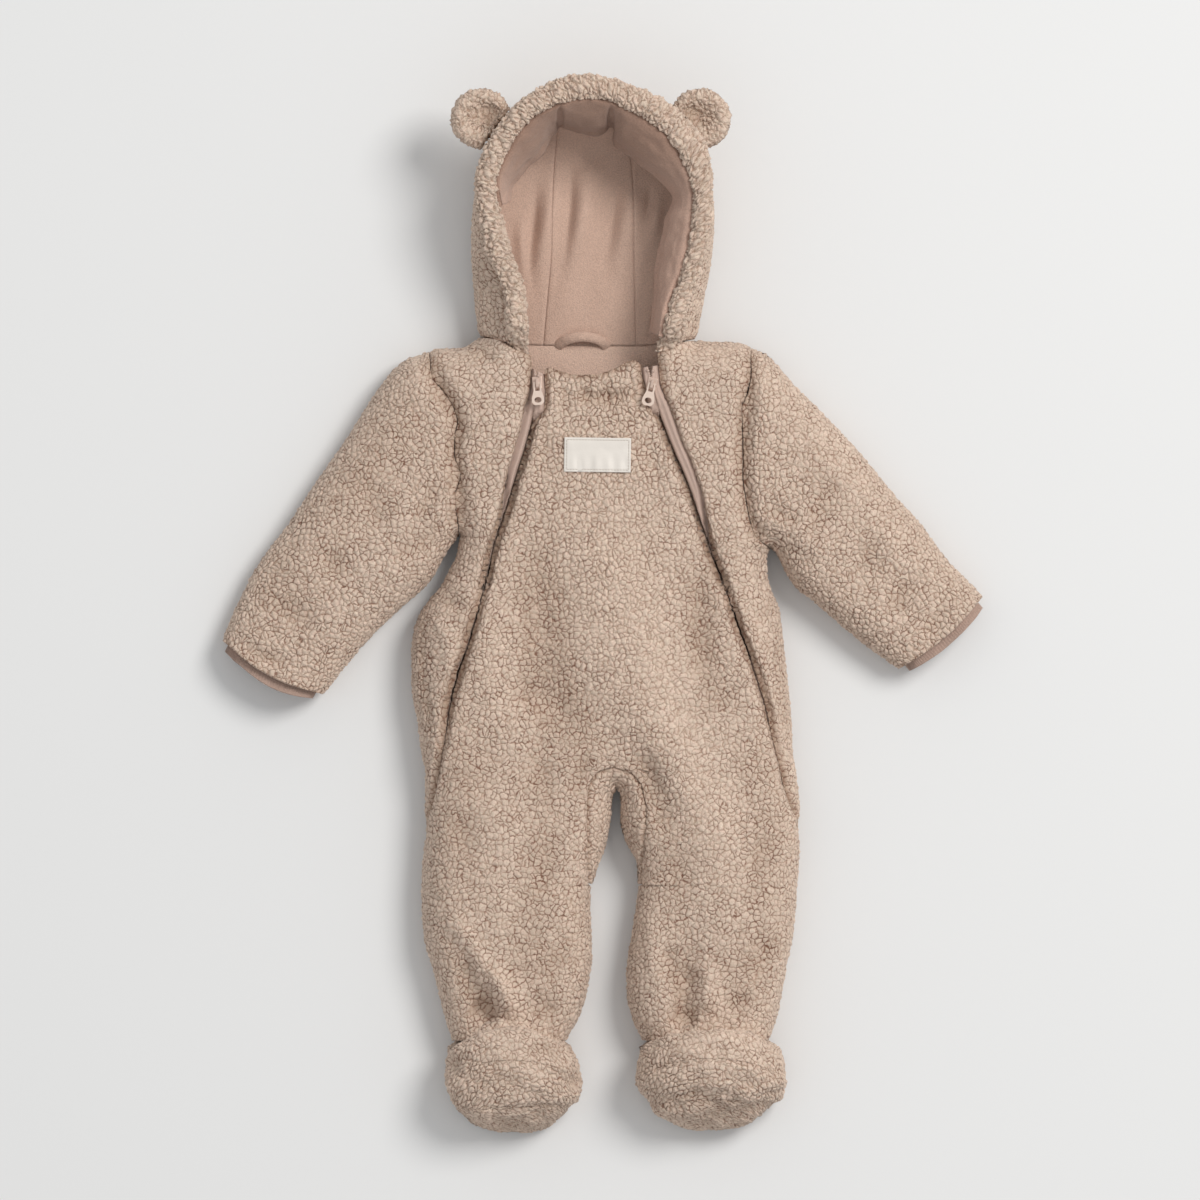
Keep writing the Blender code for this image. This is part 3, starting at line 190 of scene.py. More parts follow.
# inner leg edges below the gusset: y, left x, right x
INSEAM = [(886, 591.8, 638.1), (905, 591.5, 635), (922, 592, 632.5), (939, 593, 630), (958, 593, 626.5), (976, 591, 625), (997, 587, 626),
          (1018, 580, 631), (1036, 570, 639), (1047, 565, 645)]
# zip lines: y, left x, right x
ZIP = [(345, 534, 648), (366, 536.5, 650), (385, 537, 652), (410, 533.5, 659), (443, 526, 671), (478, 515, 686), (515, 504, 699), (551, 492, 710), (594, 482, 727),
       (631, 471, 740), (670, 459, 755), (696, 451, 764), (737, 443, 775), (770, 436, 784), (800, 430, 792), (820, 426, 798)]
ZIP_END = 840.0
# upper edge of the front pieces, neckline and shoulders, and of the back: x, y
TOP_FRONT = [(478, 337), (495, 339.5), (512, 348), (526, 353.5), (534, 357.5), (546, 364), (560, 371), (580, 374.5),
             (595, 374.5), (612, 370), (629, 361), (640, 356), (648, 354), (657, 353), (672, 347), (684, 342), (697, 340)]
TOP_BACK = [(478, 337), (500, 341), (530, 345), (590, 347), (640, 346), (670, 343), (697, 340)]
CENTRE = [(340, 596), (450, 597), (560, 602), (640, 607), (720, 611), (767.5, 614)]
Y_HIP = 640.0
Y_HEM = 1041.0

# ---------------------------------------------------------------- small helpers
def curve1(tab, t, col=1):
    """Smooth one-to-one reading of a table's column against its first column."""
    a = np.array([[r[0], r[col]] for r in tab], float)
    a = a[np.argsort(a[:, 0])]
    x, y = a[:, 0], a[:, 1]
    m = np.diff(y) / np.diff(x)
    g = np.zeros(len(x)); g[0], g[-1] = m[0], m[-1]
    for i in range(1, len(x) - 1):
        g[i] = 0 if m[i - 1] * m[i] <= 0 else 2 / (1 / m[i - 1] + 1 / m[i]) if abs(m[i-1]*m[i]) > 1e-12 else 0
    t = np.clip(np.asarray(t, float), x[0], x[-1])
    k = np.clip(np.searchsorted(x, t) - 1, 0, len(x) - 2)
    h = x[k + 1] - x[k]; u = (t - x[k]) / h
    return ((1 + 2 * u) * (1 - u) ** 2 * y[k] + u * (1 - u) ** 2 * h * g[k] + u * u * (3 - 2 * u) * y[k + 1] + u * u * (u - 1) * h * g[k + 1])

def spline(points, n, closed=False):
    """n points spread evenly along a Catmull-Rom curve through the given ones."""
    p = np.array(points, float)
    e = np.vstack([2 * p[0] - p[1], p, 2 * p[-1] - p[-2]])
    out = []
    for i in range(1, len(e) - 2):
        a, b, c, d = e[i - 1], e[i], e[i + 1], e[i + 2]
        for u in np.linspace(0, 1, 24, endpoint=False):
            out.append(0.5 * (2 * b + (c - a) * u + (2 * a - 5 * b + 4 * c - d) * u ** 2 + (3 * b - a - 3 * c + d) * u ** 3))
    out.append(p[-1]); out = np.array(out)
    s = np.concatenate([[0], np.cumsum(np.linalg.norm(np.diff(out, axis=0), axis=1))])
    t = np.linspace(0, s[-1], n)
    return np.stack([np.interp(t, s, out[:, k]) for k in range(out.shape[1])], 1)

def metres(xy):
    xy = np.asarray(xy, float)
    return np.stack([(xy[..., 0] - CX) * UNIT, (CY - xy[..., 1]) * UNIT], -1)

def smooth01(t):
    t = np.clip(t, 0, 1); return t * t * (3 - 2 * t)

# ---------------------------------------------------------------- the outline of the laid garment, without hood and feet
def outline():
    up = lambda s: [(r[0], r[1]) for r in s]
    lo = lambda s: [(r[2], r[3]) for r in s][::-1]
    reach = 70.0
    def past(s):
        (ux, uy, lx, ly, _) = s[-1]
        dx, dy = lx - ux, ly - uy; k = reach / math.hypot(dx, dy)
        nx, ny = (-dy * k, dx * k) if s is SLEEVE_L else (dy * k, -dx * k)
        return [(ux + nx, uy + ny), (lx + nx, ly + ny)]
    gap_l = [(r[1], r[0]) for r in INSEAM][::-1] + [(r[3], r[4]) for r in GUSSET[1:]]
    gap_r = [(r[5], r[6]) for r in GUSSET[1:]][::-1][1:] + [(r[2], r[0]) for r in INSEAM]
    runs = [[(478, 200), (478, 337)], SHOULDER_L + up(SLEEVE_L)[1:], past(SLEEVE_L), lo(SLEEVE_L) + [(459, 537)], [(x, y) for y, x in EDGE_L],
            [(449, 1150), (569, 1150)], gap_l + gap_r, [(641, 1150), (772, 1150)], [(x, y) for y, x in EDGE_R][::-1],
            [(771, 549)] + lo(SLEEVE_R)[::-1], past(SLEEVE_R)[::-1], up(SLEEVE_R)[::-1][:-1] + SHOULDER_R[::-1], [(697, 340), (697, 200)]]
    pts = []
    for r in runs:
        r = np.array(r, float)
        if len(r) > 2:
            L = np.linalg.norm(np.diff(r, axis=0), axis=1).sum()
            r = spline(r, max(8, int(L / 9)))
        pts += list(map(tuple, r))
    keep = [pts[0]]
    for q in pts[1:]:
        if math.dist(q, keep[-1]) > 0.4: keep.append(q)
    return metres(keep)

OUT = outline()
SEG_A, SEG_B = OUT, np.roll(OUT, -1, axis=0)

def edge_distance(P):
    """Distance to the outline and the direction in from it, for plan points in metres."""
    P = np.asarray(P, float).reshape(-1, 2)
    d_all = np.empty(len(P)); g_all = np.empty((len(P), 2))
    ab = SEG_B - SEG_A; L2 = (ab ** 2).sum(1); inward = np.stack([-ab[:, 1], ab[:, 0]], 1) / np.sqrt(L2)[:, None]
    for i in range(0, len(P), 20000):
        p = P[i:i + 20000]
        ap = p[:, None, :] - SEG_A[None]
        t = np.clip((ap * ab[None]).sum(2) / L2[None], 0, 1)
        v = ap - t[..., None] * ab[None]
        dd = (v ** 2).sum(2); k = dd.argmin(1); r = np.arange(len(p))
        d = np.sqrt(dd[r, k]); g = v[r, k] / np.maximum(d, 1e-9)[:, None]
        near = d < 0.0004
        g[near] = inward[k[near]]
        d_all[i:i + 20000] = d; g_all[i:i + 20000] = g
    return d_all, g_all

def crown(P):
    """Height of the laid garment away from its edges."""
    x, y = np.abs(P[:, 0]), P[:, 1]
    arm = smooth01((x - 0.10) / 0.15) * smooth01((y + 0.10) / 0.06)
    return 0.0455 - 0.0115 * arm - 0.002 * smooth01((-0.16 - y) / 0.10)

def upper(P, lift=None):
    shape = P.shape[:-1]; P = P.reshape(-1, 2)
    d, g = edge_distance(P)
    h = crown(P) + (0 if lift is None else lift(P, d)); H = h - Z_EDGE
    c = 1 - np.minimum(d / R_TOP, 1.0); s = np.sqrt(np.maximum(1 - c * c, 0))
    e = 0.0006
    def hh(Q): return crown(Q) + (0 if lift is None else lift(Q, d))
    gx = (hh(P + [e, 0]) - hh(P - [e, 0])) / (2 * e); gy = (hh(P + [0, e]) - hh(P - [0, e])) / (2 * e)
    n = np.stack([-H * c * g[:, 0] - R_TOP * s * s * gx, -H * c * g[:, 1] - R_TOP * s * s * gy, R_TOP * s], 1)
    n /= np.linalg.norm(n, axis=1)[:, None]
    z = Z_EDGE + H * s
    return np.concatenate([P, z[:, None]], 1).reshape(*shape, 3), n.reshape(*shape, 3)

def lower(P):
    shape = P.shape[:-1]; P = P.reshape(-1, 2)
    d, g = edge_distance(P)
    c = 1 - np.minimum(d / R_LOW, 1.0); s = np.sqrt(np.maximum(1 - c * c, 0))
    n = np.stack([-Z_EDGE * c * g[:, 0], -Z_EDGE * c * g[:, 1], -R_LOW * s], 1)
    n /= np.linalg.norm(n, axis=1)[:, None]
    z = Z_EDGE * (1 - s)
    return np.concatenate([P, z[:, None]], 1).reshape(*shape, 3), n.reshape(*shape, 3)

# ---------------------------------------------------------------- rows and sections of body and legs
SHO_L = spline(SHOULDER_L + [(r[0], r[1]) for r in SLEEVE_L[1:]], 900)
SHO_R = spline(SHOULDER_R + [(r[0], r[1]) for r in SLEEVE_R[1:]], 900)

def row_y(w, x, front):
    """Row w at x: 0 is the top edge, 1 the armpits, 2 the hip; after it one row per 100 units."""
    x = np.asarray(x, float)
    top = curve1(TOP_FRONT if front else TOP_BACK, x)
    top = np.where(x < 478, np.interp(x, SHO_L[::-1, 0], SHO_L[::-1, 1]), np.where(x > 697, np.interp(x, SHO_R[:, 0], SHO_R[:, 1]), top))
    pit = 537 + (549 - 537) * (x - 459) / (771 - 459)
    return np.where(w <= 1, top + (pit - top) * np.minimum(w, 1), np.where(w <= 2, pit + (Y_HIP - pit) * (np.clip(w, 1, 2) - 1), Y_HIP + (w - 2) * 100))

def w_of_y(y): return 2 + (y - Y_HIP) / 100

def settle(fx, w, front, x0):
    x = np.full_like(w, x0, dtype=float)
    for _ in range(12): x = fx(row_y(w, x, front))
    return x

def outer_x(side, w, front):
    arm, edge = (ARM_L, EDGE_L) if side < 0 else (ARM_R, EDGE_R)
    x0 = 459.0 if side < 0 else 771.0
    return np.where(w < 1, settle(lambda y: curve1(arm, y), np.minimum(w, 1), front, x0), settle(lambda y: curve1(edge, y), np.maximum(w, 1), front, x0))

def inner_x(side, w, front):
    xc = settle(lambda y: curve1(CENTRE, y), w, front, 600.0)
    y = row_y(w, xc, front)
    g = curve1(GUSSET, y, 1 if side < 0 else 2)
    s = curve1(INSEAM, y, 1 if side < 0 else 2)
    return np.where(y <= 767.6, xc, np.where(y < 886, g, s))

def zip_x(side, w):
    zx = settle(lambda y: curve1(ZIP, y, 1 if side < 0 else 2), w, True, 536.0 if side < 0 else 650.0)
    ox = outer_x(side, w, True); y = row_y(w, ox, True)
    k = smooth01((y - 800) / (ZIP_END - 800))
    return zx * (1 - k) + ox * k

def section(w, xa, xb, cols, front, trim=(0, 0), lift=None):
    """Grid of surface points over rows w, from x = xa to xb, evenly spread along the cloth; trim cuts its ends back, in metres."""
    w = np.asarray(w, float); n = 220
    t = (1 - np.cos(np.linspace(0, np.pi, n))) / 2
    X = xa[:, None] + (xb - xa)[:, None] * t[None]
    Y = row_y(w[:, None], X, front)
    f = (lambda P: upper(P, lift)) if front else lower
    P, _ = f(metres(np.stack([X, Y], -1)))
    s = np.concatenate([np.zeros((len(w), 1)), np.cumsum(np.linalg.norm(np.diff(P, axis=1), axis=2), axis=1)], 1)
    Q = np.empty((len(w), cols + 1))
    for i in range(len(w)):
        a, b = np.broadcast_to(trim[0], len(w))[i], s[i, -1] - np.broadcast_to(trim[1], len(w))[i]
        if b - a < 0.0012: a, b = (a + b) / 2 - 0.0006, (a + b) / 2 + 0.0006
        u = np.linspace(0, 1, cols + 1)
        Q[i] = np.interp(a + (b - a) * u, s[i], t)
    X = xa[:, None] + (xb - xa)[:, None] * Q
    Y = row_y(w[:, None], X, front)
    return f(metres(np.stack([X, Y], -1)))

# ---------------------------------------------------------------- sleeves
def along(run, pts):
    s = np.concatenate([[0], np.cumsum(np.linalg.norm(np.diff(run, axis=0), axis=1))])
    return s, np.array([s[((run - np.array(p)) ** 2).sum(1).argmin()] for p in pts])

def sleeve_ends(side, k):
    """Upper and lower end of the sleeve's cross line at station k, 0 at the armhole, 8 at the hem."""
    tab, run_u = (SLEEVE_L, SHO_L) if side < 0 else (SLEEVE_R, SHO_R)
    root_u, root_l = ((428, 350.6), (459, 537)) if side < 0 else ((752, 346.8), (771, 549))
    run_l = spline([root_l] + [(r[2], r[3]) for r in tab], 900)
    ends = []
    for run, root, c in ((run_u, root_u, 0), (run_l, root_l, 2)):
        s, at = along(run, [root] + [(r[c], r[c + 1]) for r in tab])
        q = np.interp(k, np.arange(9), at)
        ends.append(np.stack([np.interp(q, s, run[:, 0]), np.interp(q, s, run[:, 1])], -1))
    bow = np.interp(k, np.arange(9), [0] + [r[4] for r in tab])
    return ends[0], ends[1], bow

def sleeve_grid(side, ks, ws, upper_side, lift=None, extra=0.0):
    """Sleeve points over stations ks, columns matched at the armhole to the body's rows ws; extra is not used."""
    ks = np.asarray(ks, float); ws = np.asarray(ws, float); n = 160
    q = (1 - np.cos(np.linspace(0, np.pi, n))) / 2
    rx = outer_x(side, np.minimum(q, 0.99999), True); ry = row_y(q, rx, True)
    root = np.stack([rx, ry], -1)
    U, L, bow = sleeve_ends(side, np.minimum(ks, 8))
    line = U[:, None] + (L - U)[:, None] * q[None, :, None]
    nrm = np.stack([-(L - U)[:, 1], (L - U)[:, 0]], -1) * (1 if side < 0 else -1)
    nrm = nrm / np.linalg.norm(nrm, axis=1)[:, None]
    past = np.maximum(ks - 8, 0) * 10
    line = line + (bow[:, None] * np.sin(np.pi * q)[None] + past[:, None])[..., None] * nrm[:, None]
    bend = np.maximum(0, 1 - ks / 2.5) ** 1.5
    line = line + bend[:, None, None] * (root - (root[0] + (root[-1] - root[0]) * q[:, None]))[None]
    f = (lambda P: upper(P, lift)) if upper_side else lower
    P, _ = f(metres(line))
    s = np.concatenate([np.zeros((len(ks), 1)), np.cumsum(np.linalg.norm(np.diff(P, axis=1), axis=2), axis=1)], 1)
    P0, _ = f(metres(root)); s0 = np.concatenate([[0], np.cumsum(np.linalg.norm(np.diff(P0, axis=0), axis=1))])
    fr = np.interp(ws, q, s0) / s0[-1]
    XY = np.empty((len(ks), len(ws), 2))
    for i in range(len(ks)):
        qq = np.interp(fr * s[i, -1], s[i], q)
        XY[i] = np.stack([np.interp(qq, q, line[i, :, 0]), np.interp(qq, q, line[i, :, 1])], -1)
    return f(metres(XY))

# ---------------------------------------------------------------- crotch gusset
def gusset_grid(ys, cols, trim=SEAM, lift=None):
    """Rows run over the arch from the left leg to the right; columns from the front seam round the edge to the back seam."""
    rows = [(y, 0) for y in ys] + [(y, 1) for y in ys[::-1] if y > 767.6]
    q = 1 - np.cos(np.linspace(0, np.pi / 2, 60)); P = []; N = []
    for half in (True, False):
        for y, r in rows:
            O = np.array([curve1(GUSSET, y, 1 + r), y]); G = np.array([curve1(GUSSET, y, 3 if not r else 5), curve1(GUSSET, y, 4 if not r else 6)])
            line = O + (G - O) * (1 - q[::-1])[:, None]
            p, _ = (upper(metres(line), lift) if half else lower(metres(line)))
            s = np.concatenate([[0], np.cumsum(np.linalg.norm(np.diff(p, axis=0), axis=1))])
            t = min(trim, s[-1] * 0.2)
            u = np.interp(np.linspace(t, s[-1], cols + 1), s, 1 - q[::-1])
            p, n = (upper(metres(O + (G - O) * u[:, None]), lift) if half else lower(metres(O + (G - O) * u[:, None])))
            P.append(p); N.append(n)
    m = len(rows); P = np.array(P); N = np.array(N)
    return np.concatenate([P[:m], P[m:, ::-1][:, 1:]], 1), np.concatenate([N[:m], N[m:, ::-1][:, 1:]], 1)


# ---------------------------------------------------------------- hood, laid open side up
# row; left: edge under the brim x, y, z mm; widest point x, y, z mm; centre seam x, y, z mm; right: the same
HOOD_L = [(0, 505, 345, 43, 478, 337, 14, 543, 346, 0), (1, 503, 296, 44.5, 474, 300, 20, 547, 300, 0), (2, 489, 255, 49, 471, 256, 24, 551, 256, 0),
          (3, 479, 215, 55, 472, 212, 28, 552, 215, 0), (4, 477, 175, 61, 479, 178, 32, 553, 180, 0), (5, 491, 140, 66, 493, 148, 35, 555, 150, 2),
          (6, 512, 112, 70, 515, 122, 38, 557, 126, 12), (7, 535, 96, 73, 538, 105, 44, 559, 108, 34), (8, 558, 87, 73, 560, 92, 56, 563, 95, 60)]
HOOD_R = [(0, 683, 343, 43, 697, 340, 14, 636, 346, 0), (1, 690, 304, 44.5, 704, 302, 20, 635, 300, 0), (2, 703, 262, 49, 712, 258, 24, 634, 256, 0),
          (3, 711, 215, 55, 714.5, 212, 28, 634, 215, 0), (4, 709, 170, 61, 708, 178, 32, 633, 180, 0), (5, 696, 138, 66, 694, 147, 35, 630, 150, 2),
          (6, 674, 111, 70, 672, 122, 38, 625, 126, 12), (7, 650, 96, 73, 648, 105, 44, 620, 108, 34), (8, 626, 87, 73, 624, 92, 56, 614, 95, 60)]
# brim roll: station; outer edge x, y; inner edge x, y; height of its middle, mm
BRIM = [(0, 507, 344, 529, 348, 51), (1, 504, 296, 525, 295, 54.6), (2, 489, 255, 512, 254, 58.6), (3, 478, 215, 503, 217, 63.6), (4, 476, 175, 497, 180, 68.6),
        (5, 490, 138, 511, 146, 73.6), (6, 511, 111, 529, 122, 77.6), (7, 535, 93, 550, 110, 80.4), (8, 560, 80, 569, 102, 82.2), (9, 584, 75.5, 590, 99, 83),
        (10, 612, 80, 611, 103, 82.2), (11, 642, 92, 633, 113, 80.4), (12, 676, 110, 658, 128, 77.6), (13, 699, 137, 680, 156, 73.6), (14, 711, 170, 692, 190, 68.6),
        (15, 713, 215, 691, 225, 63.6), (16, 704, 262, 683, 265, 58.6), (17, 690, 304, 669, 304, 54.6), (18, 681, 342, 659, 344, 51)]
# facing inside the brim: brim station; inner edge x, y
FACING = [(3.3, 507, 203), (3.9, 511, 184), (4.6, 523, 168), (5.3, 540, 150), (6.0, 552, 133), (6.9, 562, 126), (8.2, 579, 129.5), (9.3, 597, 132), (10.3, 612, 127),
          (11.1, 617, 143), (12.0, 640, 161), (13.0, 662, 180), (13.8, 675, 196), (14.8, 668, 222), (15.8, 661, 255), (16.8, 658, 290), (17.9, 652, 338)]

def column_splines(tab, t):
    """Every column of a table read smoothly at t, t being its first column."""
    a = np.array(tab, float); n = len(a)
    e = np.vstack([2 * a[0] - a[1], a, 2 * a[-1] - a[-2]])
    k = np.clip(np.searchsorted(a[:, 0], t, side="right") - 1, 0, n - 2)
    u = ((np.asarray(t, float) - a[k, 0]) / (a[k + 1, 0] - a[k, 0]))[:, None]
    A, B, C, D = e[k], e[k + 1], e[k + 2], e[k + 3]
    return 0.5 * (2 * B + (C - A) * u + (2 * A - 5 * B + 4 * C - D) * u ** 2 + (3 * B - A - 3 * C + D) * u ** 3)

def grid_normals(P, out):
    du = np.gradient(P, axis=1); dv = np.gradient(P, axis=0)
    n = np.cross(du, dv); L = np.linalg.norm(n, axis=2, keepdims=True)
    n = n / np.maximum(L, 1e-12)
    return n * out

def hood_half(side, vs, n_up, n_low):
    """Outer surface from the brim, over the widest point, down and in to the centre seam."""
    r = column_splines(HOOD_L if side < 0 else HOOD_R, vs)
    pt = lambda i: np.concatenate([metres(r[:, i:i + 2]), r[:, i + 2:i + 3] / 1000], 1)
    B, W, C = pt(1), pt(4), pt(7)
    B[:, 2] -= 0.0016
    th = np.linspace(np.pi / 2, 0, n_up + 1); a = (1 - np.cos(th))[None, :, None]
    up = W[:, None] + (B - W)[:, None] * a
    up[..., 2] = W[:, None, 2] + (B - W)[:, None, 2] * np.sin(th)[None]
    th = np.linspace(0, np.pi / 2, n_low + 1)[1:]; a = (1 - np.cos(th))[None, :, None]
    lo = W[:, None] + (C - W)[:, None] * a
    lo[..., 2] = C[:, None, 2] + (W - C)[:, None, 2] * (1 - np.sin(th) ** 0.62)[None]
    G = np.concatenate([up, lo], 1)
    # the neck row lies along the body's own top edges
    x = CX + G[0, :, 0] / UNIT; fx = x[:n_up + 1]; bx = x[n_up + 1:]
    f, nf = upper(metres(np.stack([fx, row_y(np.zeros(len(fx)), fx, True) - 0.7], 1)))
    b, nb = lower(metres(np.stack([bx, row_y(np.zeros(len(bx)), bx, False) - 0.7], 1)))
    R0 = np.concatenate([f, b]); k = (1 - smooth01(np.asarray(vs) / 1.0))[:, None, None]
    return G + (R0 - G[0])[None] * k, np.concatenate([nf, nb])

def hood_grid(vs, n_up, n_low, n_mid):
    """Whole hood, brim to brim; returns points, normals and the columns of the two centre seams."""
    L, nl = hood_half(-1, vs, n_up, n_low); R, nr = hood_half(1, vs, n_up, n_low); R = R[:, ::-1]
    t = np.linspace(0, 1, n_mid + 1)[1:-1][None, :, None]
    M = L[:, -1:] + (R[:, :1] - L[:, -1:]) * t
    P = np.concatenate([L, M, R], 1)
    N = grid_normals(P, 1)
    if N[len(vs) // 3, 0, 2] < 0 and N[len(vs) // 3, P.shape[1] // 2, 2] > 0: N = -N
    if N[len(vs) // 3, P.shape[1] // 2, 2] > 0: N = -N
    N[0] = np.concatenate([nl, np.repeat([[0, 0, -1.0]], M.shape[1], 0), nr[::-1]])
    return P, N, n_up + n_low, n_up + n_low + n_mid

def brim_frame(t):
    r = column_splines(BRIM, t)
    O, I = metres(r[:, 1:3]), metres(r[:, 3:5])
    c = (O + I) / 2; a = (I - O) / 2
    return np.concatenate([c, r[:, 5:6] / 1000], 1), np.concatenate([a, 0 * a[:, :1]], 1)

def brim_grid(t, n, half_height=0.0056):
    """Rings of the rolled brim: flattened round section."""
    c, a = brim_frame(t); ph = np.linspace(0, 2 * np.pi, n, endpoint=False)
    co, si = np.cos(ph), np.sin(ph)
    P = c[:, None] - a[:, None] * (np.sign(co) * np.abs(co) ** 0.9)[None, :, None]
    P[..., 2] += half_height * (np.sign(si) * np.abs(si) ** 0.9)[None]
    return P

def facing_grid(t, n):
    """Facing from the brim's inner side to its free edge, which turns down."""
    r = column_splines(BRIM, t); f = column_splines(FACING, t)
    I = metres(r[:, 3:5]); F = metres(f[:, 1:3]); O = metres(r[:, 1:3]); z = r[:, 5] / 1000
    inn = (F - I); L = np.maximum(np.linalg.norm(inn, axis=1), 1e-4)[:, None]; e = inn / L
    inn2 = (I - O) / np.linalg.norm(I - O, axis=1)[:, None]; e = e * 0.6 + inn2 * 0.4; e /= np.linalg.norm(e, axis=1)[:, None]
    A = I + inn2 * 0.0019; u = np.linspace(0, 1, n + 1)
    P = np.empty((len(t), n + 1, 3))
    for j, q in enumerate(u):
        k = math.sin(q * math.pi / 2)
        P[:, j, :2] = A + (F - A) * k - e * 0.0012 * max(q - 0.8, 0) / 0.2
        P[:, j, 2] = z + 0.0008 * math.sin(min(q * 4, 1) * math.pi) - 0.021 * q ** 1.25
    return P

# ---------------------------------------------------------------- ears
# centre x, y; radius; direction towards the hood, degrees from +x; how far the hood's edge is; middle height, mm
EARS = {"left": (481.5, 119.5, 31.0, -36.0, 20.0, 62.0), "right": (700.0, 119.5, 31.0, 216.0, 18.0, 62.0)}

def ear_grid(which, rings, spokes, front):
    """Rings from the middle outwards. The front is cupped, the back is domed."""
    cx, cy, rad, to_hood, chord, z0 = EARS[which]
    ph = np.linspace(0, 2 * np.pi, spokes, endpoint=False)
    c = metres((cx, cy)); th = math.radians(to_hood)
    rel = np.cos(ph - th)
    r = np.where(rel > 0.05, np.minimum(rad, (chord - 1.5) / np.maximum(rel, 0.05)), rad)
    r = r * UNIT
    rho = np.linspace(0, 1, rings + 1)[1:]
    P = np.empty((rings, spokes, 3))
    for i, q in enumerate(rho):
        P[i, :, 0] = c[0] + r * q * np.cos(ph); P[i, :, 1] = c[1] + r * q * np.sin(ph)
        if front: z = 0.0045 * math.sin(min(q / 0.72, 1) ** 2 * math.pi / 2) + (-0.0066 * (max(q - 0.72, 0) / 0.28) ** 2)
        else: z = -0.0048 - 0.0075 * math.sqrt(max(1 - q * q, 0)) ** 1.2
        P[i, :, 2] = z0 / 1000 + z
    m = np.array([c[0], c[1], z0 / 1000 + (0 if front else -0.0123)])
    return m, P

# ---------------------------------------------------------------- feet
# station; y over the top; y along the side; left x; right x; height, mm; side height, mm (left foot), then right foot
FOOT_L = [(0, 1029, 1046, 447, 571, 49, 17), (1, 1029, 1054, 445.5, 576, 57, 19), (2, 1038, 1066, 445, 579.5, 62, 21), (3, 1060, 1079, 445, 581, 64, 22),
          (4, 1084, 1093, 447, 578, 61, 21), (5, 1107, 1107, 453, 571, 51, 19), (6, 1121, 1118, 463, 560, 38, 16), (7, 1130, 1127, 478, 546, 25, 13), (8, 1134.5, 1134, 500, 526, 14, 9)]
FOOT_R = [(0, 1030, 1046, 637, 776, 49, 17), (1, 1030, 1053, 636, 780, 57, 19), (2, 1038, 1063, 635, 785, 62, 21), (3, 1058, 1077, 636, 786, 64, 22),
          (4, 1081, 1091, 640, 784, 61, 21), (5, 1103, 1104, 650, 775, 51, 19), (6, 1117, 1115, 660, 762, 38, 16), (7, 1126, 1124, 676, 748, 25, 13), (8, 1131, 1130, 699, 725, 14, 9)]

def foot_grid(side, ks, n, top):
    """Half rings: over the top from left to right, or underneath."""
    r = column_splines(FOOT_L if side < 0 else FOOT_R, np.asarray(ks, float))
    yt, ys, xl, xr, zt, zs = (r[:, i:i + 1] for i in range(1, 7))
    th = np.linspace(0, np.pi, n + 1)[None]; co, si = np.cos(th), np.sin(th)
    ex = 0.80 if top else 0.55
    x = (xl + xr) / 2 - (xr - xl) / 2 * np.sign(co) * np.abs(co) ** ex
    s = np.abs(si) ** ex
    y = ys + (yt - ys) * s ** 3 if top else ys + 0 * s
    z = zs + (zt - zs) * s if top else zs * (1 - s)
    k = np.maximum(np.asarray(ks, float) - 5, 0)[:, None] / 3
    if not top: z = z + (k ** 2) * 5.0 * s
    m = metres(np.stack([x, y + 0 * x], -1))
    return np.concatenate([m, z[..., None] / 1000], -1)

# ---------------------------------------------------------------- seeded noise, in metres
def hash01(i, j, k, s):
    """Numbers from 0 to 1 from whole-number cells."""
    h = (i.astype(np.uint32) * np.uint32(0x8DA6B343)) ^ (j.astype(np.uint32) * np.uint32(0xD8163841)) ^ (k.astype(np.uint32) * np.uint32(0xCB1AB31F)) ^ np.uint32((s * 0x9E3779B1) & 0xFFFFFFFF)
    h ^= h >> np.uint32(15); h *= np.uint32(0x2C1B3C6D); h ^= h >> np.uint32(12); h *= np.uint32(0x297A2D39); h ^= h >> np.uint32(15)
    return (h & np.uint32(0xFFFFFF)).astype(np.float32) / np.float32(0xFFFFFF)

def cells(P, size, seed, jitter=0.92):
    """Distance to the nearest and second nearest scattered point, in cell sizes, and the nearest one's own number."""
    q = (P / size).astype(np.float32); b = np.floor(q).astype(np.int32)
    f1 = np.full(len(q), 9.0, np.float32); f2 = f1.copy(); own = np.zeros(len(q), np.float32)
    for dx in (-1, 0, 1):
        for dy in (-1, 0, 1):
            for dz in (-1, 0, 1):
                i, j, k = b[:, 0] + dx, b[:, 1] + dy, b[:, 2] + dz
                ux, uy, uz = hash01(i, j, k, seed), hash01(i, j, k, seed + 1), hash01(i, j, k, seed + 2)
                x = i + 0.5 + (ux - 0.5) * jitter - q[:, 0]; y = j + 0.5 + (uy - 0.5) * jitter - q[:, 1]; z = k + 0.5 + (uz - 0.5) * jitter - q[:, 2]
                d = np.sqrt(x * x + y * y + z * z).astype(np.float32)
                near = d < f1
                f2 = np.where(near, f1, np.minimum(f2, d)); f1 = np.where(near, d, f1); own = np.where(near, (ux * 7.31 + uy * 3.17) % 1.0, own)
    return f1, f2, own

def value(P, size, seed):
    """Smooth noise from 0 to 1."""
    q = (P / size).astype(np.float32); b = np.floor(q).astype(np.int32); f = q - b; f = f * f * (3 - 2 * f)
    out = np.zeros(len(q), np.float32)
    for dx in (0, 1):
        for dy in (0, 1):
            for dz in (0, 1):
                w = (f[:, 0] if dx else 1 - f[:, 0]) * (f[:, 1] if dy else 1 - f[:, 1]) * (f[:, 2] if dz else 1 - f[:, 2])
                out += w * hash01(b[:, 0] + dx, b[:, 1] + dy, b[:, 2] + dz, seed)
    return out

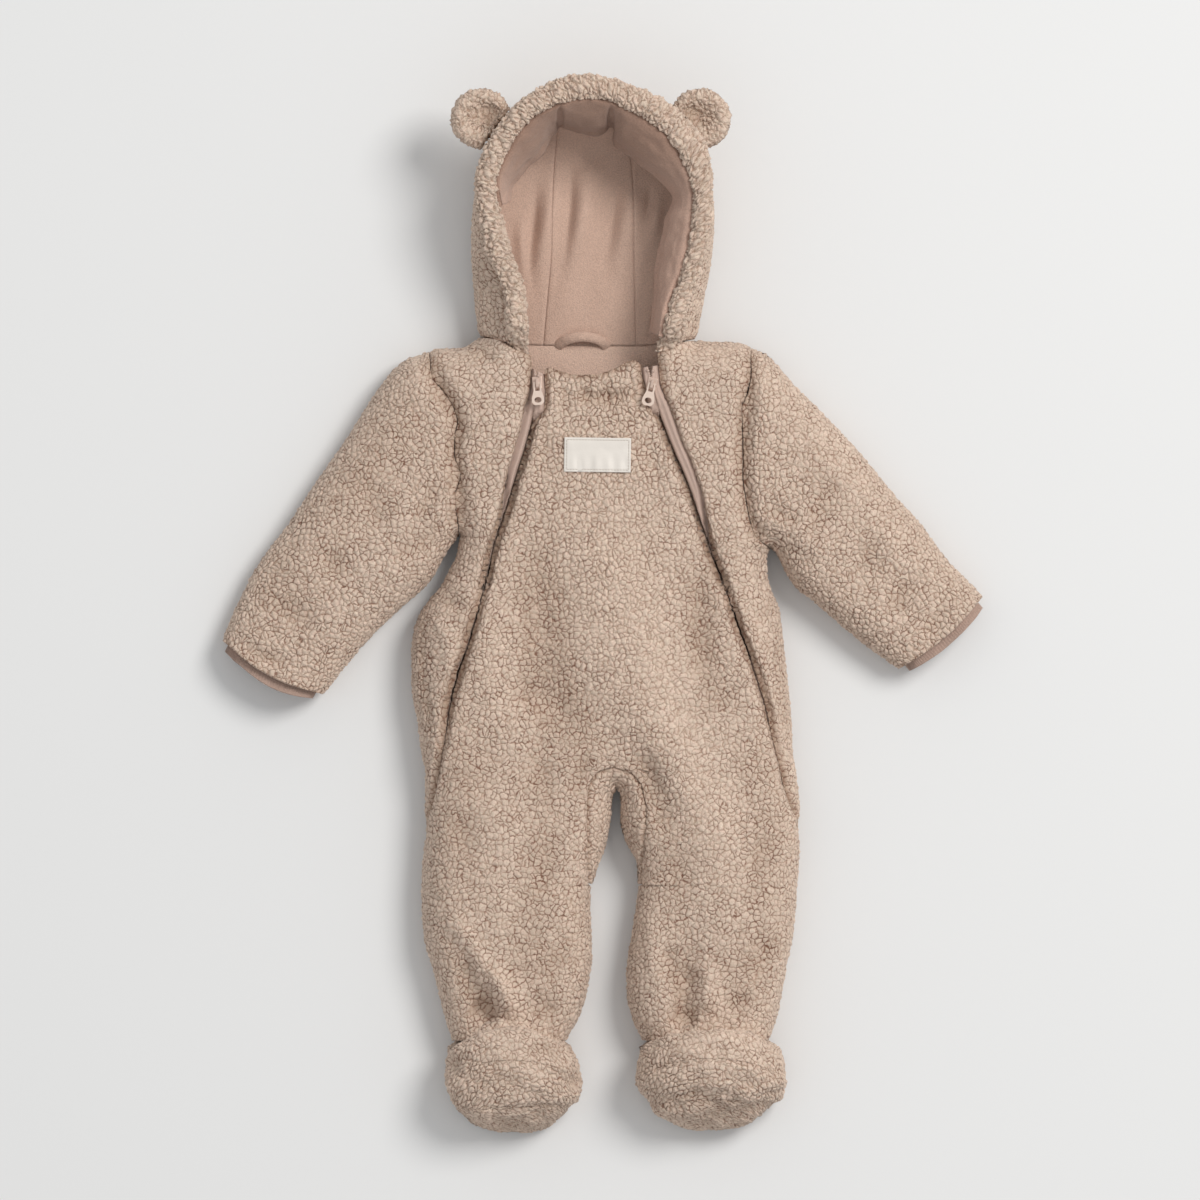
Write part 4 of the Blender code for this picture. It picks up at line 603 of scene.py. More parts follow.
class Tree:
    """A node tree being built: helpers that add one node each. co is its coordinates socket."""
    def __init__(self, nt, co=None):
        self.nt, self.co, self.x = nt, co, -300
    def add(self, kind, **props):
        n = self.nt.nodes.new(kind); n.location = (self.x, 0); self.x -= 40
        for k, v in props.items(): setattr(n, k, v)
        return n
    def put(self, socket, v):
        if isinstance(v, bpy.types.NodeSocket): self.nt.links.new(v, socket)
        else: socket.default_value = v
    def mix(self, f, a, b, kind="MIX"):
        n = self.add("ShaderNodeMix", data_type="RGBA", blend_type=kind, clamp_factor=True)
        self.put(n.inputs[0], f)
        for s, v in ((n.inputs[6], a), (n.inputs[7], b)): self.put(s, v if isinstance(v, bpy.types.NodeSocket) else (*v, 1))
        return n.outputs[2]
    def math(self, op, a, b=0.0, c=0.0, clamp=False):
        n = self.add("ShaderNodeMath", operation=op, use_clamp=clamp)
        for s, v in zip(n.inputs, (a, b, c)): self.put(s, v)
        return n.outputs[0]
    def vec(self, op, a, b=None, k=None):
        n = self.add("ShaderNodeVectorMath", operation=op); self.put(n.inputs[0], a)
        if b is not None: self.put(n.inputs[1], b)
        if k is not None: self.put(n.inputs["Scale"], k)
        return n.outputs[0]
    def span(self, v, a, b, c=0.0, d=1.0, smooth=True):
        n = self.add("ShaderNodeMapRange", interpolation_type="SMOOTHSTEP" if smooth else "LINEAR")
        for s, q in zip(n.inputs, (v, a, b, c, d)): self.put(s, q)
        return n.outputs[0]
    def noise(self, scale, detail=2.0, rough=0.5, vec=None, distortion=0.0, out=0):
        n = self.add("ShaderNodeTexNoise"); self.put(n.inputs["Vector"], vec or self.co)
        n.inputs["Scale"].default_value = scale; n.inputs["Detail"].default_value = detail; n.inputs["Roughness"].default_value = rough; n.inputs["Distortion"].default_value = distortion
        return n.outputs[out]
    def voronoi(self, scale, feature="F1", vec=None, out=0, flat=False, random=1.0):
        n = self.add("ShaderNodeTexVoronoi", feature=feature, voronoi_dimensions="2D" if flat else "3D"); self.put(n.inputs["Vector"], vec or self.co)
        n.inputs["Scale"].default_value = scale; n.inputs["Randomness"].default_value = random
        return n.outputs[out]
    def parts(self, v):
        s = self.add("ShaderNodeSeparateXYZ"); self.put(s.inputs[0], v); return s.outputs
    def join(self, x, y, z=0.0):
        n = self.add("ShaderNodeCombineXYZ")
        for s, v in zip(n.inputs, (x, y, z)): self.put(s, v)
        return n.outputs[0]

def curl_nodes(t, cloth_mm, fused, size=4.0, warp=1.0, open_=1.0):
    """Curls of the pile over flat cloth positions in mm: height 0 to 1, crack 0 to 1, each curl's own number. For shaders and for shapes alike."""
    w1 = t.vec("SUBTRACT", t.noise(0.135, 1.0, 0.5, vec=cloth_mm, out=1), (0.5, 0.5, 0.5))
    w2 = t.vec("SUBTRACT", t.noise(0.42, 1.5, 0.55, vec=cloth_mm, out=1), (0.5, 0.5, 0.5))
    q = t.vec("ADD", cloth_mm, t.vec("ADD", t.vec("SCALE", w1, k=5.0 * warp), t.vec("SCALE", w2, k=2.9 * warp)))
    edge = t.voronoi(1.0 / size, "DISTANCE_TO_EDGE", q, flat=True)
    near = t.add("ShaderNodeTexVoronoi", feature="F1", voronoi_dimensions="2D"); t.put(near.inputs["Vector"], q); near.inputs["Scale"].default_value = 1.0 / size
    own = t.parts(near.outputs["Color"])
    lump = t.noise(0.62, 2.0, 0.6, vec=q); fold = t.noise(0.30, 1.0, 0.5, vec=t.vec("ADD", q, (37.0, 11.0, 0.0)))
    faint = t.noise(0.115, 2.0, 0.6, vec=cloth_mm)
    some = t.span(t.math("MULTIPLY_ADD", own[1], 0.35, faint), 0.38, 0.95, 0.18, 1.10)
    wide = t.math("MULTIPLY_ADD", some, 0.080, 0.050)
    crack = t.math("MULTIPLY", t.math("SUBTRACT", 1.0, t.span(edge, 0.0, wide)), some)
    split = t.span(t.math("ABSOLUTE", t.math("SUBTRACT", fold, 0.5)), 0.0, 0.028, 0.62, 0.0)
    split = t.math("MULTIPLY", split, t.span(own[2], 0.35, 0.8))
    keep = t.math("MULTIPLY", t.math("MULTIPLY_ADD", fused, -0.80, 1.0), open_)
    crack = t.math("MULTIPLY", crack, keep, clamp=True); split = t.math("MULTIPLY", split, keep)
    dome = t.span(edge, -0.10, 0.40)
    h = t.math("MULTIPLY_ADD", dome, 0.50, 0.06)
    h = t.math("MULTIPLY_ADD", own[0], 0.20, h)
    h = t.math("MULTIPLY_ADD", t.span(lump, 0.28, 0.72), 0.30, h)
    h = t.math("MULTIPLY_ADD", crack, -0.12, h)
    h = t.math("MULTIPLY_ADD", split, -0.10, h)
    return h, t.math("MULTIPLY_ADD", split, 0.45, crack, clamp=True), own[2]

def curls(Q, fused, size=4.0, warp=1.0, open_=1.0):
    """curl_nodes worked out at flat cloth positions Q, in metres."""
    n = len(Q); me = bpy.data.meshes.new("probe"); me.vertices.add(n)
    co = np.zeros((n, 3), np.float32); co[:, :2] = Q * 1000; me.vertices.foreach_set("co", co.reshape(-1))
    a = me.attributes.new("fused", "FLOAT", "POINT"); a.data.foreach_set("value", np.asarray(fused, np.float32) + np.zeros(n, np.float32))
    ob = bpy.data.objects.new("probe", me); bpy.context.scene.collection.objects.link(ob)
    ng = bpy.data.node_groups.new("probe", "GeometryNodeTree")
    ng.interface.new_socket("Geometry", in_out="INPUT", socket_type="NodeSocketGeometry"); ng.interface.new_socket("Geometry", in_out="OUTPUT", socket_type="NodeSocketGeometry")
    gi, go = ng.nodes.new("NodeGroupInput"), ng.nodes.new("NodeGroupOutput"); t = Tree(ng, ng.nodes.new("GeometryNodeInputPosition").outputs[0])
    named = t.add("GeometryNodeInputNamedAttribute", data_type="FLOAT"); named.inputs["Name"].default_value = "fused"
    geo = gi.outputs[0]
    for key, socket in zip(("h", "crack", "own"), curl_nodes(t, t.co, named.outputs["Attribute"], size, warp, open_)):
        st = t.add("GeometryNodeStoreNamedAttribute", data_type="FLOAT", domain="POINT"); ng.links.new(geo, st.inputs["Geometry"]); st.inputs["Name"].default_value = key
        ng.links.new(socket, st.inputs["Value"]); geo = st.outputs[0]
    ng.links.new(geo, go.inputs[0])
    ob.modifiers.new("probe", "NODES").node_group = ng
    ev = ob.evaluated_get(bpy.context.evaluated_depsgraph_get()); out = []
    for key in ("h", "crack", "own"):
        v = np.zeros(n, np.float32); ev.data.attributes[key].data.foreach_get("value", v); out.append(v)
    bpy.data.objects.remove(ob, do_unlink=True); bpy.data.meshes.remove(me); bpy.data.node_groups.remove(ng)
    return out

# ---------------------------------------------------------------- making cloth
def weld(sheets):
    """Sheets are (P, N, closed, extras): grids of points, normals, and a dict of numbers a point. Shared points become one."""
    pts = np.concatenate([s[0].reshape(-1, 3) for s in sheets]); nrm = np.concatenate([s[1].reshape(-1, 3) for s in sheets])
    key = np.round((pts + 2.0000037) * 1e5).astype(np.int64)
    key = (key[:, 0] * 1000003 + key[:, 1]) * 1000003 + key[:, 2]
    _, first, inv = np.unique(key, return_index=True, return_inverse=True)
    inv = inv.reshape(-1)
    P = pts[first]; N = np.zeros_like(P)
    for k in range(3): N[:, k] = np.bincount(inv, nrm[:, k], len(P))
    N /= np.maximum(np.linalg.norm(N, axis=1, keepdims=True), 1e-9)
    names = sheets[0][3].keys() if len(sheets[0]) > 3 else ()
    X = {}
    for n in names:
        v = np.concatenate([np.broadcast_to(s[3][n], s[0].shape[:2]).reshape(-1) for s in sheets])
        X[n] = v[first].copy()
        if n == "seam": np.minimum.at(X[n], inv, v)
    grids, at = [], 0
    for s in sheets:
        m = s[0].shape[0] * s[0].shape[1]; grids.append(inv[at:at + m].reshape(s[0].shape[:2])); at += m
    return P, N, X, grids

def quads(grid, closed):
    g = np.concatenate([grid, grid[:, :1]], 1) if closed else grid
    return np.stack([g[:-1, :-1], g[:-1, 1:], g[1:, 1:], g[1:, :-1]], -1).reshape(-1, 4)

def new_mesh(name, V, faces4, others=(), attribute=None, mat=None):
    """Mesh object from points, an array of quads and a list of other polygons."""
    me = bpy.data.meshes.new(name); faces4 = np.asarray(faces4, np.int32).reshape(-1, 4)
    tail = np.array([v for f in others for v in f], np.int32); lens = np.concatenate([np.full(len(faces4), 4), [len(f) for f in others]]).astype(np.int32)
    loops = np.concatenate([faces4.reshape(-1), tail]).astype(np.int32)
    me.vertices.add(len(V)); me.vertices.foreach_set("co", np.asarray(V, np.float32).reshape(-1))
    me.loops.add(len(loops)); me.loops.foreach_set("vertex_index", loops)
    me.polygons.add(len(lens)); me.polygons.foreach_set("loop_start", np.concatenate([[0], np.cumsum(lens)[:-1]]).astype(np.int32))
    me.update(calc_edges=True); me.validate()
    me.polygons.foreach_set("use_smooth", np.ones(len(me.polygons), bool)); me.update()
    if attribute is not None:
        a = me.attributes.new("pile", "FLOAT_COLOR", "POINT")
        a.data.foreach_set("color", np.concatenate([attribute, np.ones((len(attribute), 4 - attribute.shape[1]))], 1).astype(np.float32).reshape(-1))
    ob = bpy.data.objects.new(name, me); bpy.context.scene.collection.objects.link(ob)
    if mat is not None: me.materials.append(mat)
    return ob

FLAT = {}
def grid_area(P, closed):
    """Area of a grid of points."""
    Q = np.concatenate([P, P[:, :1]], 1) if closed else P
    a = np.cross(Q[1:, 1:] - Q[:-1, :-1], Q[1:, :-1] - Q[:-1, 1:])
    return float(np.linalg.norm(a, axis=2).sum() / 2)

def cloth(name, sheets, thick, depth, mat, step=4, inner=None):
    """Closed cloth: the outer side at full fineness, pushed in by depth(P, N, X) -> (metres, attribute), the inner side coarser."""
    P, N, X, grids = weld(sheets)
    w = sum(float((arc_from(q[0], 1, False)[:, -1] + (np.linalg.norm(q[0][:, 0] - q[0][:, -1], axis=1) if q[2] else 0)).max()) for q in sheets)
    l = max(float(arc_from(q[0], 0, False)[-1].max()) for q in sheets); FLAT[name] = (w, l, sum(grid_area(q[0], q[2]) for q in sheets))
    fine, coarse = [], []
    for s, g in zip(sheets, grids):
        q = quads(g, s[2]); r, c = g.shape
        a, b, d = P[q[:, 0]], P[q[:, 1]], P[q[:, 3]]
        flip = (np.cross(b - a, d - a) * N[q[:, 0]]).sum() < 0
        ok = np.array([len(set(f)) == 4 for f in q.tolist()]) if (q[:, 0] == q[:, 1]).any() or (q[:, 2] == q[:, 3]).any() or (q[:, 0] == q[:, 3]).any() or (q[:, 1] == q[:, 2]).any() else np.ones(len(q), bool)
        tri = [list(dict.fromkeys(f)) for f in q[~ok].tolist()]; tri = [f[::-1] if flip else f for f in tri if len(f) == 3]
        fine.append((q[ok][:, ::-1] if flip else q[ok], tri))
        rs = list(range(0, r - 1, step)) + [r - 1]; cs = list(range(0, c if s[2] else c - 1, step)) + ([] if s[2] else [c - 1])
        for i in range(len(rs) - 1):
            for j in range(len(cs) if s[2] else len(cs) - 1):
                j0 = cs[j]; j1 = cs[j + 1] if j + 1 < len(cs) else c
                w = lambda v: v % c
                sides = [[g[rs[i], w(k)] for k in range(j0, j1 + 1)], [g[k, w(j1)] for k in range(rs[i], rs[i + 1] + 1)],
                         [g[rs[i + 1], w(k)] for k in range(j1, j0 - 1, -1)], [g[k, w(j0)] for k in range(rs[i + 1], rs[i] - 1, -1)]]
                coarse.append((sides, flip))
    count = {}
    for sides, _ in coarse:
        for e in sides:
            k = (min(e[0], e[-1]), max(e[0], e[-1])); count[k] = count.get(k, 0) + 1
    polys = []
    for sides, flip in coarse:
        f = []
        for e in sides:
            k = (min(e[0], e[-1]), max(e[0], e[-1]))
            f += e[:-1] if count[k] == 1 else [e[0]]
        f = [int(v) for n, v in enumerate(f) if v != f[n - 1]]
        if len(set(f)) >= 3: polys.append(f if flip else f[::-1])
    F4 = np.concatenate([f[0] for f in fine]); T3 = [t for f in fine for t in f[1]]
    # boundary edges of the fine side
    A = np.concatenate([F4[:, [0, 1]], F4[:, [1, 2]], F4[:, [2, 3]], F4[:, [3, 0]]] + ([np.array([[t[i], t[(i + 1) % 3]] for t in T3 for i in range(3)])] if T3 else []))
    n = len(P); fwd = A[:, 0].astype(np.int64) * n + A[:, 1]; back = A[:, 1].astype(np.int64) * n + A[:, 0]
    rim = A[~np.isin(fwd, back)]
    push, attr = depth(P, N, X)
    outer = P - N * push[:, None]
    used = np.unique(np.concatenate([np.array([v for f in polys for v in f]), rim.reshape(-1)]))
    to = np.full(n, -1); to[used] = n + np.arange(len(used))
    th = thick if np.ndim(thick) else np.full(n, thick)
    base = P if inner is None else inner(P, N, X)
    V = np.concatenate([outer, (base - N * th[:, None])[used]])
    side = np.stack([rim[:, 1], rim[:, 0], to[rim[:, 0]], to[rim[:, 1]]], 1)
    ob = new_mesh(name, V, np.concatenate([F4, side]), T3 + [[int(to[v]) for v in f] for f in polys], np.concatenate([attr, attr[used]]), mat)
    if "u" in X:
        Q = np.stack([X["u"], X["v"], 0 * X["u"]], 1) * 1000; Q = np.concatenate([Q, Q[used]])
        ob.data.attributes.new("cloth", "FLOAT_VECTOR", "POINT").data.foreach_set("vector", Q.astype(np.float32).reshape(-1))
    return ob

def arc_from(P, axis, end):
    """Distance along the cloth from one end of each row (axis 1) or column (axis 0)."""
    d = np.linalg.norm(np.diff(P, axis=axis), axis=2)
    z = np.zeros_like(np.take(d, [0], axis=axis))
    s = np.concatenate([z, np.cumsum(d, axis=axis)], axis)
    return s if not end else np.take(s, [-1], axis=axis) - s

def seam_distance(P, sides):
    """Least distance to the named sides of a grid: l, r for columns, t, b for rows."""
    out = np.full(P.shape[:2], 1.0)
    if "l" in sides: out = np.minimum(out, arc_from(P, 1, False))
    if "r" in sides: out = np.minimum(out, arc_from(P, 1, True))
    if "t" in sides: out = np.minimum(out, arc_from(P, 0, False))
    if "b" in sides: out = np.minimum(out, arc_from(P, 0, True))
    return out

def rounding(d, wide, high):
    """How much longer the cloth is than its plan between the flat and a point d in from the edge, where it rounds down."""
    th = np.linspace(0, np.pi / 2, 80); arc = np.concatenate([[0], np.cumsum(np.hypot(np.diff(wide * np.cos(th)), np.diff(high * np.sin(th))))])
    a = np.arccos(np.clip(1 - d / wide, 0, 1)); return (arc[-1] - np.interp(a, th, arc)) - wide * np.cos(a)

def plan_uv(P, front=True, shift=(0.0, 0.0)):
    """Flat cloth positions from above: the plan, with the rounded edges folded out."""
    Q = P[..., :2].reshape(-1, 2); d, g = edge_distance(Q)
    Q = Q - g * (rounding(d, R_TOP, 0.030) if front else rounding(d, R_LOW, 0.014))[:, None]
    Q = Q.reshape(*P.shape[:-1], 2)
    return {"u": (Q[..., 0] if front else -Q[..., 0]) + shift[0], "v": Q[..., 1] + shift[1]}

def under_uv(P):
    """The same for a sheet underneath that runs on from the upper one without a seam."""
    Q = P[..., :2].reshape(-1, 2); d, g = edge_distance(Q); a = np.arccos(np.clip(1 - d / R_LOW, 0, 1))
    th = np.linspace(0, np.pi / 2, 80); arc = np.concatenate([[0], np.cumsum(np.hypot(np.diff(R_LOW * np.cos(th)), np.diff(Z_EDGE * np.sin(th))))])
    run = np.interp(a, th, arc) + np.maximum(d - R_LOW, 0); Q = (Q - g * (d + rounding(0 * d, R_TOP, 0.030) + run)[:, None]).reshape(*P.shape[:-1], 2)
    return {"u": Q[..., 0], "v": Q[..., 1]}

PATCH = [0]
def flat_uv(P, zero="l", sign=1.0, shift=None):
    """Flat cloth positions of a grid: u across from its first, last or middle column, v down from its first row."""
    u = arc_from(P, 1, zero == "r"); u = u - u[:, u.shape[1] // 2][:, None] if zero == "m" else u
    if shift is None: PATCH[0] += 1; shift = (0.37 * PATCH[0], 0.53 * PATCH[0])
    return {"u": u * sign + shift[0], "v": arc_from(P, 0, False) + shift[1]}

MADE = []
def place(ob, node, slot, rests=(), body="garment"):
    """Puts a made piece in place of its node."""
    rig.ride(ob, body)
    if node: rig.replaces(ob, *([node] if isinstance(node, str) else node))
    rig.slot(ob, slot); MADE.append(ob)
    return ob

def round_corner(P, top_last, side_last, r):
    """Rounds the corner of a grid between its first (or last) row and its first (or last) column."""
    a, b = arc_from(P, 0, top_last), arc_from(P, 1, side_last)
    va, vb = np.maximum(r - a, 0), np.maximum(r - b, 0); rho = np.hypot(va, vb); f = np.where(rho > 1e-9, np.maximum(va, vb) / np.maximum(rho, 1e-9), 1.0)
    tr, tc = np.gradient(P, axis=0), np.gradient(P, axis=1)
    tr = tr / np.maximum(np.linalg.norm(tr, axis=2, keepdims=True), 1e-9) * (-1 if top_last else 1); tc = tc / np.maximum(np.linalg.norm(tc, axis=2, keepdims=True), 1e-9) * (-1 if side_last else 1)
    return P + tr * (va * (1 - f))[..., None] + tc * (vb * (1 - f))[..., None]

# ---------------------------------------------------------------- creases of the laid cloth
# points in layout units, half-width in units, height in mm (below 0 a trough), how much of each end tapers
CREASES = [
    # armhole seams and shoulders
    ([(428, 352), (441, 389), (457, 423), (454, 454), (459, 497), (458, 530)], 9, -5.0, 0.05),
    ([(462, 346), (478, 352), (495, 362)], 8, -3.0, 0.3),
    ([(752, 349), (747, 395), (743, 440), (743, 480), (750, 520), (764, 545)], 9, -5.0, 0.05),
    ([(452, 480), (430, 500), (412, 530)], 9, -2.0, 0.4), ([(448, 520), (420, 545), (385, 560)], 10, -2.4, 0.4),
    ([(757, 500), (783, 516), (812, 524)], 9, -2.2, 0.4), ([(770, 535), (792, 552), (822, 566)], 8, -2.0, 0.4),
    # sleeves: soft folds across and along
    ([(345, 470), (372, 498), (384, 540)], 12, -1.6, 0.4), ([(300, 548), (330, 560), (352, 590)], 12, -1.8, 0.4),
    ([(262, 600), (292, 612), (318, 640)], 12, -1.5, 0.4), ([(236, 640), (262, 655), (292, 662)], 8, -2.0, 0.3),
    ([(330, 505), (318, 545), (300, 590)], 16, 1.6, 0.4), ([(838, 470), (822, 505), (818, 548)], 12, -1.6, 0.4),
    ([(880, 520), (868, 556), (858, 590)], 13, -1.6, 0.4), ([(925, 566), (905, 590), (888, 624)], 12, -1.8, 0.4),
    ([(955, 590), (938, 615), (915, 640)], 9, -1.8, 0.3), ([(860, 500), (900, 560), (930, 600)], 16, 1.4, 0.4),
    # zips, below the sliders
    ([(536, 395), (526, 443), (515, 478), (504, 515), (492, 551), (482, 594)], 7, -3.2, 0.1),
    ([(482, 594), (471, 631), (459, 670), (451, 696), (443, 737)], 7, -2.6, 0.2),
    ([(655, 395), (671, 443), (686, 478), (699, 515), (710, 551), (727, 594)], 7, -3.2, 0.1),
    ([(727, 594), (740, 631), (755, 670), (764, 696), (775, 737)], 7, -2.4, 0.2),
    # neckline gathers on the bib
    ([(572, 391), (590, 397), (615, 397), (638, 390)], 6, -3.0, 0.3), ([(560, 378), (566, 400), (562, 424)], 6, -1.6, 0.5),
    ([(583, 380), (586, 396), (582, 412)], 5, -1.4, 0.5), ([(606, 379), (608, 396), (612, 414)], 5, -1.5, 0.5), ([(630, 370), (636, 392), (640, 420)], 6, -1.7, 0.5),
    ([(548, 420), (545, 450), (538, 480)], 9, -1.8, 0.5), ([(648, 430), (652, 460), (660, 490)], 9, -1.6, 0.5),
    # belly and hips
    ([(596, 490), (608, 570), (634, 660), (668, 750), (694, 830), (706, 900)], 40, 4.6, 0.3), ([(545, 500), (538, 580), (540, 650), (562, 720), (596, 764)], 26, -2.9, 0.35),
    ([(700, 540), (698, 600), (703, 660), (716, 705)], 15, -2.6, 0.35), ([(498, 580), (492, 640), (492, 700), (500, 760)], 24, 2.6, 0.35),
    ([(500, 672), (530, 694), (556, 706), (582, 730)], 15, -2.2, 0.35), ([(748, 676), (720, 700), (700, 712), (668, 736)], 14, -1.6, 0.35), ([(616, 742), (640, 766), (660, 800), (668, 850)], 15, -3.2, 0.3),
    ([(545, 727), (540, 760), (548, 800)], 12, -1.6, 0.4), ([(640, 744), (650, 772), (652, 806)], 10, -2.6, 0.3), ([(590, 750), (580, 775), (574, 800)], 9, -2.0, 0.3),
    ([(424, 600), (421, 640), (424, 690), (430, 735)], 6, -3.0, 0.2), ([(432, 610), (446, 640), (452, 680)], 8, 1.6, 0.3),
    ([(786, 610), (780, 650), (786, 700), (789, 745)], 6, -2.4, 0.2), ([(436, 588), (452, 604), (470, 612)], 7, -2.2, 0.4), ([(784, 596), (766, 612), (750, 618)], 7, -2.0, 0.4),
    # legs
    ([(446, 905), (470, 948), (500, 990), (520, 1020)], 13, 3.4, 0.25), ([(456, 960), (478, 992), (492, 1016)], 12, -2.6, 0.3), ([(692, 955), (685, 990), (684, 1022)], 10, -4.0, 0.35), ([(640, 900), (650, 950), (660, 1000)], 13, 2.2, 0.3),
    ([(505, 760), (498, 840), (494, 920), (502, 985)], 30, 3.0, 0.3), ([(715, 760), (722, 840), (716, 920), (710, 985)], 30, 3.0, 0.3),
    ([(446, 800), (462, 830), (470, 870)], 13, -1.8, 0.5), ([(560, 830), (548, 868), (554, 905)], 13, -1.6, 0.5),
    ([(668, 830), (676, 870), (668, 910)], 13, -1.6, 0.5), ([(778, 820), (762, 850), (758, 890)], 13, -1.8, 0.5),
    ([(440, 930), (462, 950), (470, 985)], 10, -2.0, 0.4), ([(576, 930), (560, 958), (548, 990)], 11, -2.0, 0.4),
    ([(652, 940), (670, 962), (676, 996)], 10, -2.0, 0.4), ([(782, 930), (762, 956), (752, 986)], 11, -2.0, 0.4),
    ([(470, 1002), (486, 1012), (498, 1018)], 12, -6.0, 0.30), ([(528, 1018), (541, 1011), (560, 1000)], 12, -2.8, 0.40), ([(494, 961), (504, 992), (514, 1021)], 11, 4.2, 0.3),
    ([(670, 1010), (685, 1019), (698, 1024)], 11, -5.2, 0.30), ([(722, 1014), (738, 1004), (756, 996)], 13, -2.4, 0.40), ([(706, 958), (708, 990), (711, 1018)], 11, 4.0, 0.3),
]
RX0, RY0, RSTEP = 195.0, 315.0, 1.5
RX, RY = np.meshgrid(np.arange(RX0, 1015, RSTEP), np.arange(RY0, 1165, RSTEP))
RAISE = np.zeros_like(RX); SHADE_AND_OPEN_PILE = np.zeros_like(RX)
def carve(points, width, height, taper):
    pts = spline(points, 40) if len(points) > 2 else np.array(points, float)
    lo, hi = pts.min(0) - 3.2 * width, pts.max(0) + 3.2 * width
    m = (RX > lo[0]) & (RX < hi[0]) & (RY > lo[1]) & (RY < hi[1])
    q = np.stack([RX[m], RY[m]], 1); d = ((q[:, None] - pts[None]) ** 2).sum(2); k = d.argmin(1)
    t = k / (len(pts) - 1); end = smooth01(np.minimum(t, 1 - t) / max(taper, 1e-3)) * 0.85 + 0.15
    bell = np.exp(-d[np.arange(len(q)), k] / width ** 2) * end
    RAISE[m] += 1.5 * height / 1000 * bell
    # crease troughs get painted shade, ridges get painted light
    SHADE_AND_OPEN_PILE[m] += np.clip(-height / 3.4, -0.8, 1.0) * bell
for c in CREASES: carve(*c)
# where the pile lies more open, with painted shade over it: points, half-width, how much
for pts, width, much in (([(478, 770), (476, 860), (486, 960)], 44, 0.62), ([(540, 800), (530, 880), (530, 960)], 34, 0.55), ([(680, 800), (690, 880), (690, 960)], 34, 0.55), ([(750, 770), (752, 860), (744, 960)], 40, 0.55),
                         ([(548, 600), (556, 670), (580, 740)], 30, 0.45), ([(400, 420), (340, 500), (280, 590)], 42, 0.55), ([(455, 620), (460, 700)], 34, 0.40), ([(700, 600), (704, 680)], 20, 0.45),
                         ([(810, 460), (860, 520), (900, 590)], 18, 0.30), ([(600, 392), (604, 420)], 26, 0.30), ([(500, 1100), (506, 1120)], 30, 0.35), ([(696, 1096), (700, 1118)], 30, 0.35)):
    p = spline(pts, 30) if len(pts) > 2 else np.linspace(pts[0], pts[1], 20)
    far = np.full(RX.shape, 1e9)
    for a in p: far = np.minimum(far, (RX - a[0]) ** 2 + (RY - a[1]) ** 2)
    SHADE_AND_OPEN_PILE += much * np.exp(-far / width ** 2)
grid_points = np.stack([RX.ravel() * UNIT, RY.ravel() * UNIT, 0 * RX.ravel()], 1)
RAISE += ((value(grid_points, 0.060, 71) - 0.5) * 0.0030 + (value(grid_points, 0.026, 72) - 0.5) * 0.0020 + (value(grid_points, 0.013, 73) - 0.5) * 0.0009).reshape(RX.shape)

def read(field, P):
    """A field of the layout at plan points P."""
    x = (P[:, 0] / UNIT + CX - RX0) / RSTEP; y = (CY - P[:, 1] / UNIT - RY0) / RSTEP
    x = np.clip(x, 0, RX.shape[1] - 1.001); y = np.clip(y, 0, RX.shape[0] - 1.001)
    i, j = y.astype(int), x.astype(int); v, u = y - i, x - j
    return field[i, j] * (1 - u) * (1 - v) + field[i, j + 1] * u * (1 - v) + field[i + 1, j] * (1 - u) * v + field[i + 1, j + 1] * u * v

def lift(P, d):
    """Extra height of the laid cloth at plan points P, fading out at its edges."""
    return read(RAISE, P) * smooth01(d / 0.016)

# where the pile is pressed smoother: points, half-width in units, how much
PRESSED = [([(640, 620), (668, 680), (700, 750)], 30, 0.75), ([(700, 790), (712, 860)], 26, 0.5), ([(760, 380), (800, 430), (850, 490)], 24, 0.6), ([(420, 372), (380, 430), (340, 490)], 20, 0.45),
           ([(500, 345), (470, 350)], 16, 0.5), ([(690, 348), (725, 352)], 18, 0.6), ([(560, 560), (600, 640)], 26, 0.35), ([(505, 1050), (520, 1062)], 26, 0.6), ([(700, 1048), (725, 1060)], 26, 0.6),
           ([(530, 400), (518, 450), (505, 500), (492, 550)], 8, 0.5), ([(662, 410), (680, 450), (700, 505), (716, 560)], 9, 0.6), ([(470, 800), (480, 900)], 20, 0.35), ([(600, 500), (640, 560)], 24, 0.4)]
def pressed(P):
    x = P[:, 0] / UNIT + CX; y = CY - P[:, 1] / UNIT; out = np.zeros(len(P))
    for pts, w, k in PRESSED:
        p = spline(pts, 14) if len(pts) > 2 else np.linspace(pts[0], pts[1], 10)
        d = np.full(len(P), 1e9)
        for a in p: d = np.minimum(d, (x - a[0]) ** 2 + (y - a[1]) ** 2)
        out = np.maximum(out, k * np.exp(-d / w ** 2))
    return out * smooth01((P[:, 2] - 0.02) / 0.012)

